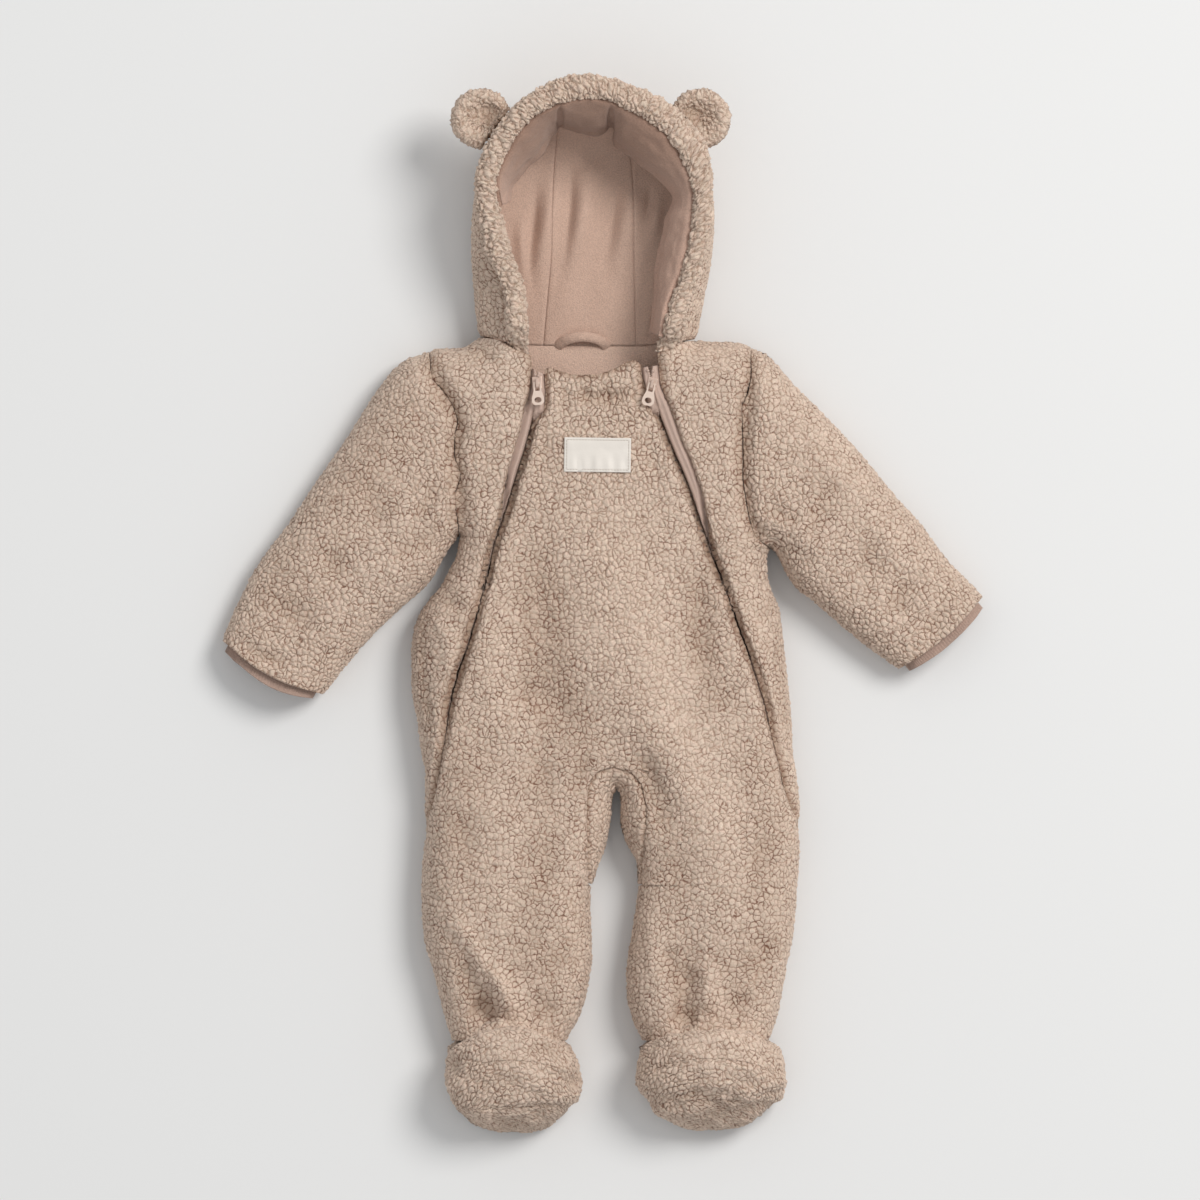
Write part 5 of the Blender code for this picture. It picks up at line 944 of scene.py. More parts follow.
def pile_depth(height=0.0021, size=4.0, seed=11, proud=0.0003, seam_dip=0.0016, seam_w=0.0040, fuzz=0.0006, press=True, warp=1.0, open_=1.0):
    """A depth function for cloth(): curls over the flat cloth's u and v, with soft dips along seams given by the extra 'seam' and its 'dip'."""
    def f(P, N, X):
        m = pressed(P) if press else np.zeros(len(P)); low = np.zeros(len(P))
        # painted shade in the troughs and open patches, painted light on the ridges; the troughs also open the pile
        if press: low = np.clip(read(SHADE_AND_OPEN_PILE, P), -0.5, 1.0) * smooth01((P[:, 2] - 0.02) / 0.012)
        m = np.clip(m + 0.55 * (value(P, 0.034, seed + 50) - 0.5) - 0.35 * np.clip(low, 0, 1), 0, 1)
        h, crack, own = curls(np.stack([X["u"], X["v"]], 1), m, size, warp, open_)
        A = height * (1 - 0.40 * m) * (0.8 + 0.4 * value(P, 0.03, seed + 51))
        push = A * (1 - h) + fuzz * (value(P, 0.0016, seed + 52) - 0.5) - proud
        dip = X.get("dip", seam_dip + 0 * m); reach = (seam_w + 0.0018 * smooth01((dip - 0.002) / 0.001)) * (0.75 + 0.5 * value(P, 0.009, seed + 53))
        at = 1 - smooth01(X["seam"] / reach) if "seam" in X else 0 * m
        # painted shade along the seam furrows, stronger where they dip deeper
        push = push + dip * at; at = at * (0.35 + 0.65 * smooth01((dip - 0.0012) / 0.0016))
        return push, np.stack([m, 0.5 + 0.5 * np.clip(low, -1, 1), at], 1)
    return f

# ---------------------------------------------------------------- materials
class Mat(Tree):
    """A material being built: a Principled shader with the tree's helpers."""
    def __init__(self, name):
        self.m = bpy.data.materials.new(name); self.m.use_nodes = True; super().__init__(self.m.node_tree)
        self.b = self.nt.nodes["Principled BSDF"]
        self.co = self.add("ShaderNodeTexCoord").outputs["Object"]
    def set(self, **kw):
        for k, v in kw.items(): self.put(self.b.inputs[k.replace("_", " ")], v)
    def wave(self, scale, direction="X", distortion=0.0, vec=None):
        n = self.add("ShaderNodeTexWave", bands_direction=direction, wave_profile="SIN"); self.put(n.inputs["Vector"], vec or self.co)
        n.inputs["Scale"].default_value = scale; n.inputs["Distortion"].default_value = distortion
        return n.outputs[1]
    def turn(self, rz=0.0, scale=(1, 1, 1), loc=(0, 0, 0)):
        n = self.add("ShaderNodeMapping"); self.put(n.inputs["Vector"], self.co)
        n.inputs["Rotation"].default_value = (0, 0, rz); n.inputs["Scale"].default_value = scale; n.inputs["Location"].default_value = loc
        return n.outputs[0]
    def attr(self, name, vector=False):
        a = self.add("ShaderNodeAttribute", attribute_name=name)
        return a.outputs["Vector"] if vector else self.parts(a.outputs["Color"])
    def bump(self, height, distance, strength=1.0, normal=None):
        n = self.add("ShaderNodeBump"); self.put(n.inputs["Height"], height); n.inputs["Distance"].default_value = distance; n.inputs["Strength"].default_value = strength
        if normal is not None: self.put(n.inputs["Normal"], normal)
        return n.outputs[0]

def pile_material(name, top=(0.725, 0.575, 0.470), crack=(0.225, 0.115, 0.078), size=4.0, warp=1.0, relief=0.0008, open_=1.0, crack_shade_by=0.94):
    m = Mat(name); a = m.attr("pile"); cl = m.attr("cloth", True)
    h, dark, own = curl_nodes(m, cl, a[0], size, warp, open_)
    rosy = m.noise(0.33, 2.0, 0.6, vec=cl)
    tone = m.mix(m.span(rosy, 0.34, 0.66), (top[0] * 0.985, top[1] * 0.955, top[2] * 0.955), (top[0] * 1.01, top[1] * 1.04, top[2] * 1.03))
    tone = m.mix(own, m.mix(1.0, tone, (0.92, 0.91, 0.90), "MULTIPLY"), m.mix(1.0, tone, (1.05, 1.05, 1.05), "MULTIPLY"))
    # painted shade: the low parts of each curl are darker
    tone = m.mix(m.span(h, 0.18, 0.72), m.mix(1.0, tone, (0.73, 0.665, 0.625), "MULTIPLY"), tone)
    # painted shade in crease troughs and open patches, painted light on ridges
    low = m.span(a[1], 0.5, 1.0); high = m.span(a[1], 0.5, 0.15)
    tone = m.mix(low, tone, m.mix(1.0, tone, (0.86, 0.84, 0.82), "MULTIPLY")); tone = m.mix(high, tone, m.mix(1.0, tone, (1.05, 1.05, 1.05), "MULTIPLY"))
    # painted shade along the seam furrows and in the ear cups
    tone = m.mix(a[2], tone, m.mix(1.0, tone, (0.72, 0.665, 0.625), "MULTIPLY"))
    # painted shade: the cracks between the curls take the dark crack colour, deeper in the crease troughs
    depth = m.math("MULTIPLY", m.math("MULTIPLY_ADD", low, 0.30, crack_shade_by), dark, clamp=True)
    col = m.mix(depth, tone, crack)
    fine = m.noise(1500.0, 2.0, 0.6); tuft = m.noise(620.0, 2.0, 0.6, distortion=0.6); ply = m.noise(300.0, 2.0, 0.6, distortion=1.2)
    col = m.mix(m.span(m.math("ADD", fine, tuft), 0.72, 1.28), m.mix(1.0, col, (0.86, 0.85, 0.84), "MULTIPLY"), m.mix(1.0, col, (1.08, 1.08, 1.08), "MULTIPLY"))
    z = m.math("ADD", m.math("MULTIPLY", fine, 0.25), m.math("ADD", m.math("MULTIPLY", tuft, 0.50), m.math("MULTIPLY", ply, 0.45)))
    m.set(Base_Color=col, Roughness=m.span(tuft, 0.3, 0.7, 0.86, 0.99), Normal=m.bump(m.math("ADD", z, h), relief, 0.9))
    m.b.inputs["Sheen Weight"].default_value = 0.25; m.b.inputs["Sheen Roughness"].default_value = 0.45; m.b.inputs["Sheen Tint"].default_value = (0.92, 0.86, 0.80, 1)
    m.b.inputs["Specular IOR Level"].default_value = 0.18
    return m.m

def fleece_material(name, base=(0.655, 0.460, 0.366), nap=1.0, shade=1.0):
    m = Mat(name)
    soft = m.noise(14.0, 3.0); grain = m.noise(1050.0, 2.0, 0.6); fine = m.noise(2600.0, 2.0, 0.6)
    col = m.mix(soft, [c * 0.95 for c in base], [c * 1.05 for c in base])
    col = m.mix(m.span(grain, 0.34, 0.66), m.mix(1.0, col, (0.88, 0.865, 0.86), "MULTIPLY"), m.mix(1.0, col, (1.08, 1.08, 1.07), "MULTIPLY"))
    if shade < 1:   # a tint that stands for the shade at the crown
        up = m.add("ShaderNodeSeparateXYZ"); m.put(up.inputs[0], m.co)
        col = m.mix(m.span(up.outputs[1], 0.285, 0.335), col, m.mix(1.0, col, (shade, shade * 0.94, shade * 0.90), "MULTIPLY"))
    h = m.math("ADD", grain, m.math("MULTIPLY", fine, 0.4))
    m.set(Base_Color=col, Roughness=m.span(grain, 0.3, 0.7, 0.88, 1.0), Normal=m.bump(h, 0.0007 * nap, 1.0))
    m.b.inputs["Sheen Weight"].default_value = 0.35; m.b.inputs["Sheen Roughness"].default_value = 0.5; m.b.inputs["Sheen Tint"].default_value = (0.95, 0.86, 0.80, 1)
    m.b.inputs["Specular IOR Level"].default_value = 0.15
    return m.m

def knit_material(name, base=(0.46, 0.325, 0.265)):
    m = Mat(name); g = m.noise(1100.0, 2.0, 0.6); v = m.voronoi(1400.0)
    col = m.mix(m.span(g, 0.3, 0.7), [c * 0.86 for c in base], [c * 1.10 for c in base])
    m.set(Base_Color=col, Roughness=m.span(g, 0.3, 0.7, 0.8, 0.95), Normal=m.bump(m.math("ADD", g, v), 0.0004, 0.7))
    m.b.inputs["Sheen Weight"].default_value = 0.2; m.b.inputs["Specular IOR Level"].default_value = 0.2
    return m.m

def tape_material(name, base=(0.53, 0.385, 0.315)):
    m = Mat(name)
    a = m.wave(900.0, "DIAGONAL", 0.3); b = m.wave(900.0, "Y", 0.3, vec=m.turn(0.5)); g = m.noise(900.0)
    w = m.math("MULTIPLY", a, b)
    col = m.mix(w, [c * 0.86 for c in base], [c * 1.06 for c in base]); col = m.mix(m.span(g, 0.3, 0.7, 0.0, 0.25), col, [c * 0.8 for c in base])
    m.set(Base_Color=col, Roughness=m.span(g, 0.3, 0.7, 0.68, 0.85), Normal=m.bump(w, 0.00025, 0.7))
    m.b.inputs["Specular IOR Level"].default_value = 0.3
    return m.m

def hard_material(name, base, rough, metal, wear=0.06):
    m = Mat(name); g = m.noise(420.0, 4.0, 0.6); s = m.noise(90.0, 2.0)
    col = m.mix(m.span(g, 0.35, 0.7), base, [min(1, c * (1 + wear)) for c in base])
    m.set(Base_Color=col, Roughness=m.span(s, 0.3, 0.7, rough * 0.85, min(1, rough * 1.2)), Normal=m.bump(g, 0.00006, 0.5))
    m.b.inputs["Metallic"].default_value = metal
    return m.m

def satin_material(name, base=(0.80, 0.745, 0.68)):
    m = Mat(name)
    vec = m.turn(math.radians(0.8), (1.0, 9.0, 1.0)); warp = m.noise(420.0, 3.0, 0.6, vec=vec); fold = m.noise(28.0, 2.0, 0.5, vec=m.turn(0.5, (2.2, 0.5, 1.0)))
    col = m.mix(warp, [c * 0.94 for c in base], [min(1, c * 1.04) for c in base])
    m.set(Base_Color=col, Roughness=m.span(warp, 0.3, 0.7, 0.34, 0.52), Normal=m.bump(m.math("ADD", warp, m.math("MULTIPLY", fold, 1.2)), 0.00022, 0.6))
    m.b.inputs["Sheen Weight"].default_value = 0.15; m.b.inputs["Specular IOR Level"].default_value = 0.45
    return m.m

def thread_material(name, base):
    m = Mat(name); g = m.noise(2600.0, 2.0); col = m.mix(g, [c * 0.85 for c in base], [min(1, c * 1.08) for c in base])
    m.set(Base_Color=col, Roughness=m.span(g, 0.3, 0.7, 0.55, 0.75), Normal=m.bump(g, 0.0001, 0.6)); return m.m

def floor_material():
    m = Mat("floor_paper"); g = m.noise(3.0, 3.0); f = m.noise(600.0, 2.0)
    m.set(Base_Color=m.mix(g, (0.800, 0.801, 0.797), (0.812, 0.812, 0.808)), Roughness=0.9, Normal=m.bump(f, 0.0001, 0.1)); m.b.inputs["Specular IOR Level"].default_value = 0.1
    return m.m

PILE_M = pile_material("pile_fleece_beige"); BRIM_M = pile_material("pile_fleece_brim", (0.725, 0.575, 0.470), (0.27, 0.155, 0.11), 3.9, 1.5, 0.0008, 0.62, 0.75)
# the facing is a darker copy of the lining fleece: painted shade, deeper still towards the crown
LINING_M = fleece_material("smooth_fleece_pink"); FACING_SHADED_M = fleece_material("smooth_fleece_facing", (0.600, 0.405, 0.320), 1.2, 0.62)
RIB_M = knit_material("rib_knit_pink"); TAPE_M = tape_material("zip_tape_pink", (0.69, 0.51, 0.425)); SATIN_M = satin_material("label_satin"); THREAD_M = thread_material("stitch_thread", (0.56, 0.43, 0.35)); LABEL_THREAD_M = thread_material("label_thread", (0.56, 0.50, 0.44))
METAL_M = hard_material("slider_painted", (0.70, 0.53, 0.44), 0.30, 0.55); PULL_M = hard_material("pull_moulded", (0.72, 0.575, 0.485), 0.36, 0.0)
COIL_M = hard_material("zip_coil", (0.50, 0.365, 0.30), 0.4, 0.0)

# painted light: a brightened copy of the lining fleece, lifted against the shade under the bib
NECK_LIT_M = fleece_material("smooth_fleece_neck", (0.78, 0.565, 0.455))

# ---------------------------------------------------------------- body and legs
FINE = 0.00112
def rows_for(w0, w1, step):
    """Body rows from w0 to w1 about step apart along the cloth."""
    ys = lambda w: float(row_y(np.array(w), np.array(590.0), True))
    n = int(round((ys(w1) - ys(w0)) * UNIT / step)); t = np.linspace(ys(w0), ys(w1), n * 3 + 1)
    ww = np.linspace(w0, w1, 600); yy = row_y(ww, np.full(600, 590.0), True)
    return np.interp(np.linspace(yy[0], yy[-1], n + 1), yy, ww)

def tape_gap(w, side):
    """How far the side front and the middle front keep back from the zip line."""
    full = 0.0041 if side < 0 else 0.0064
    out = np.where(w < 0.62, full, full + (0.0004 - full) * smooth01((w - 0.62) / (0.30 if side < 0 else 0.42)))
    mid = np.where(w < 0.265, 0.0066, 0.0066 + (0.0003 - 0.0066) * smooth01((w - 0.265) / 0.085))
    return out, mid

W_END = float(w_of_y(ZIP_END)); W_HEM = float(w_of_y(Y_HEM))
GAP = 0.00003
steep = lambda wide, far, n: 0.00001 + wide * (1 - np.cos(np.linspace(0, far, n)))   # closer rows where the cloth rounds up from its edge
R = np.concatenate([steep(0.222, 0.33, 8), rows_for(0.0165, W_HEM, 0.00125)])
def zip_dip(w, P, side):
    """How far the pile rolls down at its edges: more along the zips."""
    at = arc_from(P, 1, side == "r"); deep = (0.0040 + (0.0032 - 0.0040) * smooth01((w - 1.2) / 1.6))[:, None] * (0.72 + 0.56 * value(P.reshape(-1, 3), 0.0075, 333).reshape(P.shape[:2]))
    dip = np.where(at < 0.012, np.where((w <= W_END)[:, None], deep, 0.0012), 0.0007)
    return np.where((arc_from(P, 0, w[0] > w[-1]) < 0.006) & (arc_from(P, 1, side == "r") < (0.1 if side == "r" else 0.02)), np.maximum(dip, 0.0028), dip)
up_to = R <= W_END
outer_gap = np.where(R < 1.0, 0.0004, GAP)
front = []
for side, tag in ((-1, "left"), (1, "right")):
    xi, xz, xo = inner_x(side, R, True), zip_x(side, R), outer_x(side, R, True)
    gap_out, gap_mid = tape_gap(R, side)
    y_in = row_y(R, xi, True)
    far = np.where(up_to, xz, xo)
    P, N = section(R, xi, far, 98, True, (np.where(y_in > 767.6, GAP, 0.0), np.where(up_to, gap_mid, GAP)), lift)
    P = round_corner(P, False, True, 0.0095)
    seam = seam_distance(P, "rt"); inner_seam = np.where((y_in > 767.6)[:, None], arc_from(P, 1, False), 1.0)
    front.append((P, N, False, {"seam": np.minimum(seam, inner_seam), "dip": zip_dip(R, P, "r"), **plan_uv(P)}))
    s = R <= W_END - 0.02; rs = R[s][::1]
    width = float(np.median(np.abs(xo[s] - xz[s])) * UNIT) + 0.018
    P, N = section(rs, xz[s], xo[s], int(width / 0.00118), True, (gap_out[s], outer_gap[s]), lift)
    P = round_corner(P, True, False, 0.0080)
    ob = cloth("side_front_" + tag, [(P, N, False, {"seam": seam_distance(P, "lrt"), "dip": zip_dip(rs, P, "l"), **plan_uv(P, shift=(0.011, 0.007))})], PILE, pile_depth(seed=21 if side < 0 else 31), PILE_M)
    place(ob, "side_front_" + tag, "pile_fleece")
    RB = np.concatenate([steep(0.111, 0.45, 6), rows_for(0.0165, W_HEM, 0.0029)])
    xi, xo = inner_x(side, RB, False), outer_x(side, RB, False)
    P, N = section(RB, xo, xi, 62, False, (np.where(RB < 1.0, 0.0004, GAP), np.where(RB > w_of_y(767), GAP, GAP)))
    ob = cloth("back_" + tag, [(P, N, False, {"seam": seam_distance(P, "lrt"), **plan_uv(P, False, (1.0, 0.0))})], PILE, pile_depth(seed=41 if side < 0 else 51, press=False, proud=0.0), PILE_M)
    place(ob, "back_" + tag, "pile_fleece")
ob = cloth("front_middle", front, PILE, pile_depth(), PILE_M)
place(ob, "front_middle", "pile_fleece")

ys = np.concatenate([np.linspace(884, 790, 82), np.linspace(789, 767.5, 34)])
P, N = gusset_grid(ys, 26, GAP, lift)
ob = cloth("crotch_gusset", [(P, N, False, {"seam": seam_distance(P, "lr"), **plan_uv(P, shift=(0.021, 0.013))})], PILE, pile_depth(seed=61, seam_dip=0.0024, proud=0.0008), PILE_M)
place(ob, "crotch_gusset", "pile_fleece")

# ---------------------------------------------------------------- sleeves and cuffs
def tube(side, ks, n_up, n_low, cut=True):
    def even(n, top):
        """Columns evenly spaced along the cloth."""
        w = (1 - np.cos(np.linspace(0, np.pi, 401))) / 2; G = sleeve_grid(side, ks[::12], w, top)[0]
        L = arc_from(G, 1, False); L = np.median(L / L[:, -1:], axis=0); return np.interp(np.linspace(0, 1, n + 1), L, w)
    wu, wl = even(n_up, True), even(n_low, False)
    P, N = sleeve_grid(side, ks, wu, True, lift); Q, M = sleeve_grid(side, ks, wl, False)
    Q[:, 0], Q[:, -1] = P[:, 0], P[:, -1]
    return P, N, Q, M
for side, tag in ((-1, "left"), (1, "right")):
    ks = np.linspace(0.0, 8.0, 208); P, N, Q, M = tube(side, ks, 128, 46)
    seam = [seam_distance(G, "tb") for G in (P, Q)]
    under = arc_from(P, 1, True); under2 = arc_from(Q, 1, True)
    ob = cloth("sleeve_" + tag, [(P, N, False, {"seam": np.minimum(seam[0], under), **plan_uv(P)}), (Q, M, False, {"seam": np.minimum(seam[1], under2), **under_uv(Q)})], PILE, pile_depth(seed=71 if side < 0 else 81, seam_dip=0.0006), PILE_M)
    place(ob, "sleeve_" + tag, "pile_fleece")

# ---------------------------------------------------------------- hood
def turn_normals(P, N, want):
    """N or its opposite, whichever mostly points along want at the grid's middle."""
    i, j = P.shape[0] // 2, P.shape[1] // 2
    return N if N[i, j] @ np.asarray(want, float) > 0 else -N

def ring_normals(P):
    Q = np.concatenate([P[:, -1:], P, P[:, :1]], 1); n = np.cross(np.gradient(Q, axis=1), np.gradient(Q, axis=0))[:, 1:-1]
    n /= np.maximum(np.linalg.norm(n, axis=2, keepdims=True), 1e-12)
    c = P.mean(1, keepdims=True)
    return n if ((P - c) * n).sum() > 0 else -n

def even_normals(N, times=6):
    """Normals of a grid evened out with their neighbours."""
    for _ in range(times):
        Q = np.pad(N, ((1, 1), (1, 1), (0, 0)), mode="edge"); N = Q[:-2, 1:-1] + Q[2:, 1:-1] + Q[1:-1, :-2] + Q[1:-1, 2:] + 2 * Q[1:-1, 1:-1]
        N /= np.maximum(np.linalg.norm(N, axis=2, keepdims=True), 1e-9)
    return N

VS = np.linspace(0, 8.45, 134)
NU, NL, NM = 44, 84, 40
P, N, c1, c2 = hood_grid(VS, NU, NL, NM); N = even_normals(N)
for side, c in ((-1, 0), (1, P.shape[1] - 1)):   # next to the brim the shell leans outward, never back over it
    for j in range(0, 14):
        k = c - side * j; w = 1 - smooth01(j / 13.0); M = N[:, k].copy(); M[:, 0] += side * 0.9 * w; N[:, k] = M / np.linalg.norm(M, axis=1, keepdims=True); P[:, k, 2] += 0.0026 * w
P[..., 2] += (0.0034 * smooth01((VS - 7.9) / 0.4))[:, None]   # runs on up behind the brim
P[..., 2] = np.maximum(P[..., 2], 0)
last = P.shape[1] - 1
for tag, a, b, sides in (("side_left", 0, c1, "rtb"), ("centre", c1, c2, "lrtb"), ("side_right", c2, last, "ltb")):
    Q, M = P[:, a:b + 1].copy(), N[:, a:b + 1].copy()
    ob = cloth("hood_" + tag, [(Q, M, False, {"seam": seam_distance(Q, sides), **flat_uv(Q)})], PILE, pile_depth(seed=91 + a, press=False), PILE_M)
    place(ob, "hood_" + tag, "pile_fleece")

# folds of the lining: points in layout units, half-width, depth in mm
FOLDS = [([(551, 168), (548, 214), (541, 262), (540, 300)], 11.0, -7.8), ([(538, 176), (534, 225), (530, 262), (534, 300)], 4.8, 3.0), ([(590, 150), (585, 200), (574, 254), (566, 296)], 13.0, -8.6), ([(572, 150), (571, 205), (565, 258), (556, 290)], 4.6, 3.0),
         ([(633, 166), (629, 214), (620, 262), (614, 292)], 12.0, -6.8), ([(618, 176), (614, 216), (608, 254), (604, 280)], 5.0, 2.4), ([(662, 190), (657, 215), (650, 250)], 6.0, -3.6), ([(650, 180), (649, 205), (645, 230)], 3.8, 2.2),
         ([(521, 205), (521, 250), (528, 296)], 6.0, -3.6), ([(662, 304), (655, 326), (646, 347)], 5.0, 2.5), ([(673, 290), (666, 322), (657, 346)], 6.0, -4.0),
         ([(566, 262), (566, 300), (568, 336)], 16.0, -1.6), ([(606, 262), (609, 300), (613, 338)], 18.0, -1.8)]
def folds(P):
    x = P[:, 0] / UNIT + CX; y = CY - P[:, 1] / UNIT; out = np.zeros(len(P))
    for pts, w, h in FOLDS:
        p = spline(pts, 40); q = np.stack([x, y], 1)
        box = (x > p[:, 0].min() - 3 * w) & (x < p[:, 0].max() + 3 * w) & (y > p[:, 1].min() - 3 * w) & (y < p[:, 1].max() + 3 * w)
        d = ((q[box][:, None] - p[None]) ** 2).sum(2); k = d.argmin(1); t = k / 39
        out[box] += h / 1000 * np.exp(-d[np.arange(len(k)), k] / w ** 2) * (0.05 + 0.95 * smooth01(t / 0.42) * smooth01((1 - t) / 0.58))
    return out * smooth01((y - 146) / 26)   # none on the wall at the crown
def lining_depth(seam_dip=0.0006):
    def f(P, N, X):
        push = folds(P) + 0.0009 * (value(P, 0.016, 201) - 0.5) + 0.0022 * (value(P, 0.034, 202) - 0.5) + 0.00022 * (value(P, 0.0021, 203) - 0.5)
        if "seam" in X: push = push + seam_dip * (1 - smooth01(X["seam"] / 0.0018))
        return push, np.ones((len(P), 3))
    return f
LIN = PILE + 0.0014 + SMOOTH
VL = np.linspace(0.02, 8.3, 162); PL, NLn, l1, l2 = hood_grid(VL, 36, 70, 44); NLn = even_normals(NLn)
PL[..., 2] = np.maximum(PL[..., 2], 0)
for tag, a, b, sides in (("side_left", 10, l1, "r"), ("centre", l1, l2, "lr"), ("side_right", l2, PL.shape[1] - 11, "l")):
    Q, M = PL[:, a:b + 1], NLn[:, a:b + 1]; IN = Q - M * LIN
    lo, hi = PL[..., 0].min(1)[:, None] + 0.0105, PL[..., 0].max(1)[:, None] - 0.0105   # keeps inside the side panels at the neck
    k = (0.4 + 0.6 * (1 - smooth01(VL / 1.2)))[:, None]; IN[..., 0] += (np.clip(IN[..., 0], lo, hi) - IN[..., 0]) * k
    ob = cloth("lining_" + tag, [(IN, -M, False, {"seam": seam_distance(Q, sides)})], SMOOTH, lining_depth(), LINING_M)
    place(ob, "lining_" + tag, "smooth_fleece")

# the brim: a rolled strip of pile, its curls running across the roll
t = np.linspace(-0.20, 18.20, 570); G = brim_grid(t, 56); G[..., 2] -= 0.014 * (smooth01((0.45 - t) / 0.62) + smooth01((t - 17.55) / 0.62))[:, None]; NB = ring_normals(G)
G, NB = np.roll(G, -42, 1), np.roll(NB, -42, 1); mid, _ = brim_frame(t); run = np.concatenate([[0], np.cumsum(np.linalg.norm(np.diff(mid, axis=0), axis=1))])
ring_at = np.linspace(0, 0.0425, 57)[:-1]
def brim_depth(P, N, X):
    h, crack, own = curls(np.stack([X["u"], X["v"]], 1), 0.0, 3.9, 1.5, 0.62)
    slow = value(P, 0.018, 412)
    push = 0.0036 * (1 - h) - 0.0013 + 0.0024 * (0.5 - slow) + 0.0011 * (value(P, 0.0018, 413) - 0.5) + 0.0022 * (value(P, 0.0046, 414) - 0.5)
    return push, np.stack([0 * h, 0 * h + 0.5, 0 * h], 1)
ob = cloth("hood_brim", [(G, NB, True, {"u": np.repeat(run[:, None], 56, 1), "v": np.repeat(ring_at[None], 570, 0) * 0.80})], 0.0036, brim_depth, BRIM_M)
place(ob, "hood_brim", "pile_fleece")

# facing: smooth fleece rolled over inside the brim, caught at two tucks
t = np.linspace(3.3, 17.8, 350); G = facing_grid(t, 34); q = np.linspace(0, 1, 35)
G[..., 2] -= (0.0020 + 0.0200 * np.exp(-((t - 8.7) / 3.2) ** 2))[:, None] * (q ** 1.1)[None]
back = G[:, 0] - G[:, 1]; back[:, 2] = 0; back /= np.linalg.norm(back, axis=1)[:, None]   # its fixed edge runs on under the brim
turn = G[:, -2] - G[:, -1]; turn[:, 2] = 0; turn /= np.maximum(np.linalg.norm(turn, axis=1)[:, None], 1e-9); under = smooth01((q - 0.80) / 0.20)
G = G + turn[:, None] * 0.0042 * (under ** 2)[None, :, None]; G[..., 2] -= 0.0042 * under[None]   # its free edge turns under
G = np.concatenate([(G[:, 0] + back * k + [0, 0, -k * 0.4])[:, None] for k in (0.0052, 0.0039, 0.0026, 0.0013)] + [G], 1); NF = turn_normals(G, grid_normals(G, 1), (0, 0, 1))
TUCKS = [(560.6, 121.0), (610.6, 121.0)]
def facing_depth(P, N, X):
    x = P[:, 0] / UNIT + CX; y = CY - P[:, 1] / UNIT; push = np.zeros(len(P))
    for tx, ty in TUCKS: push += 0.0065 * np.exp(-(((x - tx) / 2.4) ** 2 + ((y - ty) / 9.0) ** 2))
    push += 0.0022 * (value(P, 0.014, 301) - 0.5) + 0.0014 * (value(P, 0.007, 302) - 0.5) + 0.0003 * (value(P, 0.0022, 303) - 0.5)
    push += 0.0012 * (1 - smooth01(X["seam"] / 0.0030))
    return push, np.ones((len(P), 3))
ob = cloth("hood_facing", [(G, NF, False, {"seam": seam_distance(G, "l")})], SMOOTH, facing_depth, FACING_SHADED_M)
place(ob, "hood_facing", "smooth_fleece")

# neck lining
xs = np.linspace(514, 673, 110); ys = np.linspace(0, 1, 44)
top = row_y(np.zeros(len(xs)), xs, False) - 2.2
XY = np.stack([np.repeat(xs[None], len(ys), 0), top[None] + ys[:, None] * 56], -1); P, N = lower(metres(XY)); L = PILE + 0.0005 + SMOOTH
ob = cloth("neck_lining", [(P - N * L, -N, False, {"seam": seam_distance(P, "t")})], SMOOTH, lining_depth(0.0006), NECK_LIT_M)
place(ob, "neck_lining", "smooth_fleece")

# hanger loop
path = spline([(555, 349.5), (559, 344.5), (568, 339), (582, 336.6), (596, 338.6), (604, 343.5), (608, 349.5)], 90)
xy = metres(path); z = 0.0035 + 0.0110 * np.sin(np.linspace(0, np.pi, 90)) ** 0.6; tan = np.gradient(xy, axis=0); tan /= np.linalg.norm(tan, axis=1)[:, None]
nor = np.stack([-tan[:, 1], tan[:, 0]], 1); ph = np.linspace(0, 2 * np.pi, 28, endpoint=False)
G = np.stack([xy[:, None, 0] + nor[:, None, 0] * 0.0037 * np.cos(ph)[None], xy[:, None, 1] + nor[:, None, 1] * 0.0037 * np.cos(ph)[None], z[:, None] + 0.0022 * np.sin(ph)[None]], -1)
def loop_depth(P, N, X): return 0.0004 * (value(P, 0.004, 501) - 0.5) + 0.0002 * (value(P, 0.0015, 502) - 0.5), np.ones((len(P), 3))
ob = cloth("hanger_loop", [(G, ring_normals(G), True, {})], 0.0011, loop_depth, LINING_M)
place(ob, "hanger_loop", "smooth_fleece")

# ---------------------------------------------------------------- ears
for tag in ("left", "right"):
    for part, is_front in (("front", True), ("back", False)):
        m, G = ear_grid(tag, 26, 132, is_front)
        G = np.concatenate([np.repeat(m[None, None], 132, 1), G])
        N = turn_normals(G, grid_normals(np.concatenate([G[:, -1:], G, G[:, :1]], 1), 1)[:, 1:-1], (0, 0, 1 if is_front else -1))
        N[0] = (0, 0, 1 if is_front else -1)
        pile = pile_depth(height=0.0030, size=3.9, warp=1.5, open_=0.62, seed=611, proud=0.0012, fuzz=0.0011, press=False, seam_dip=0.0004); cup = metres((489, 117) if tag == "left" else (692, 118))
        def ear_depth(P, N, X, pile=pile, cup=cup, is_front=is_front):
            push, attr = pile(P, N, X); far = np.linalg.norm(P[:, :2] - cup, axis=1)
            bell = np.exp(-(far / 0.0068) ** 2) if is_front else 0 * far
            # painted shade at the middle of the front cup, through the pile's shade and seam-shade channels
            return push + 0.0062 * bell, attr + np.stack([0 * bell, 0.5 * bell, 0.4 * bell], 1)
        ob = cloth(f"ear_{tag}_{part}", [(G, N, True, {"seam": seam_distance(G, "b"), "u": G[..., 0] + 3.0, "v": G[..., 1] + 2.0})], 0.0030 if is_front else 0.0034, ear_depth, BRIM_M, step=3)
        place(ob, f"ear_{tag}_{part}", "pile_fleece")

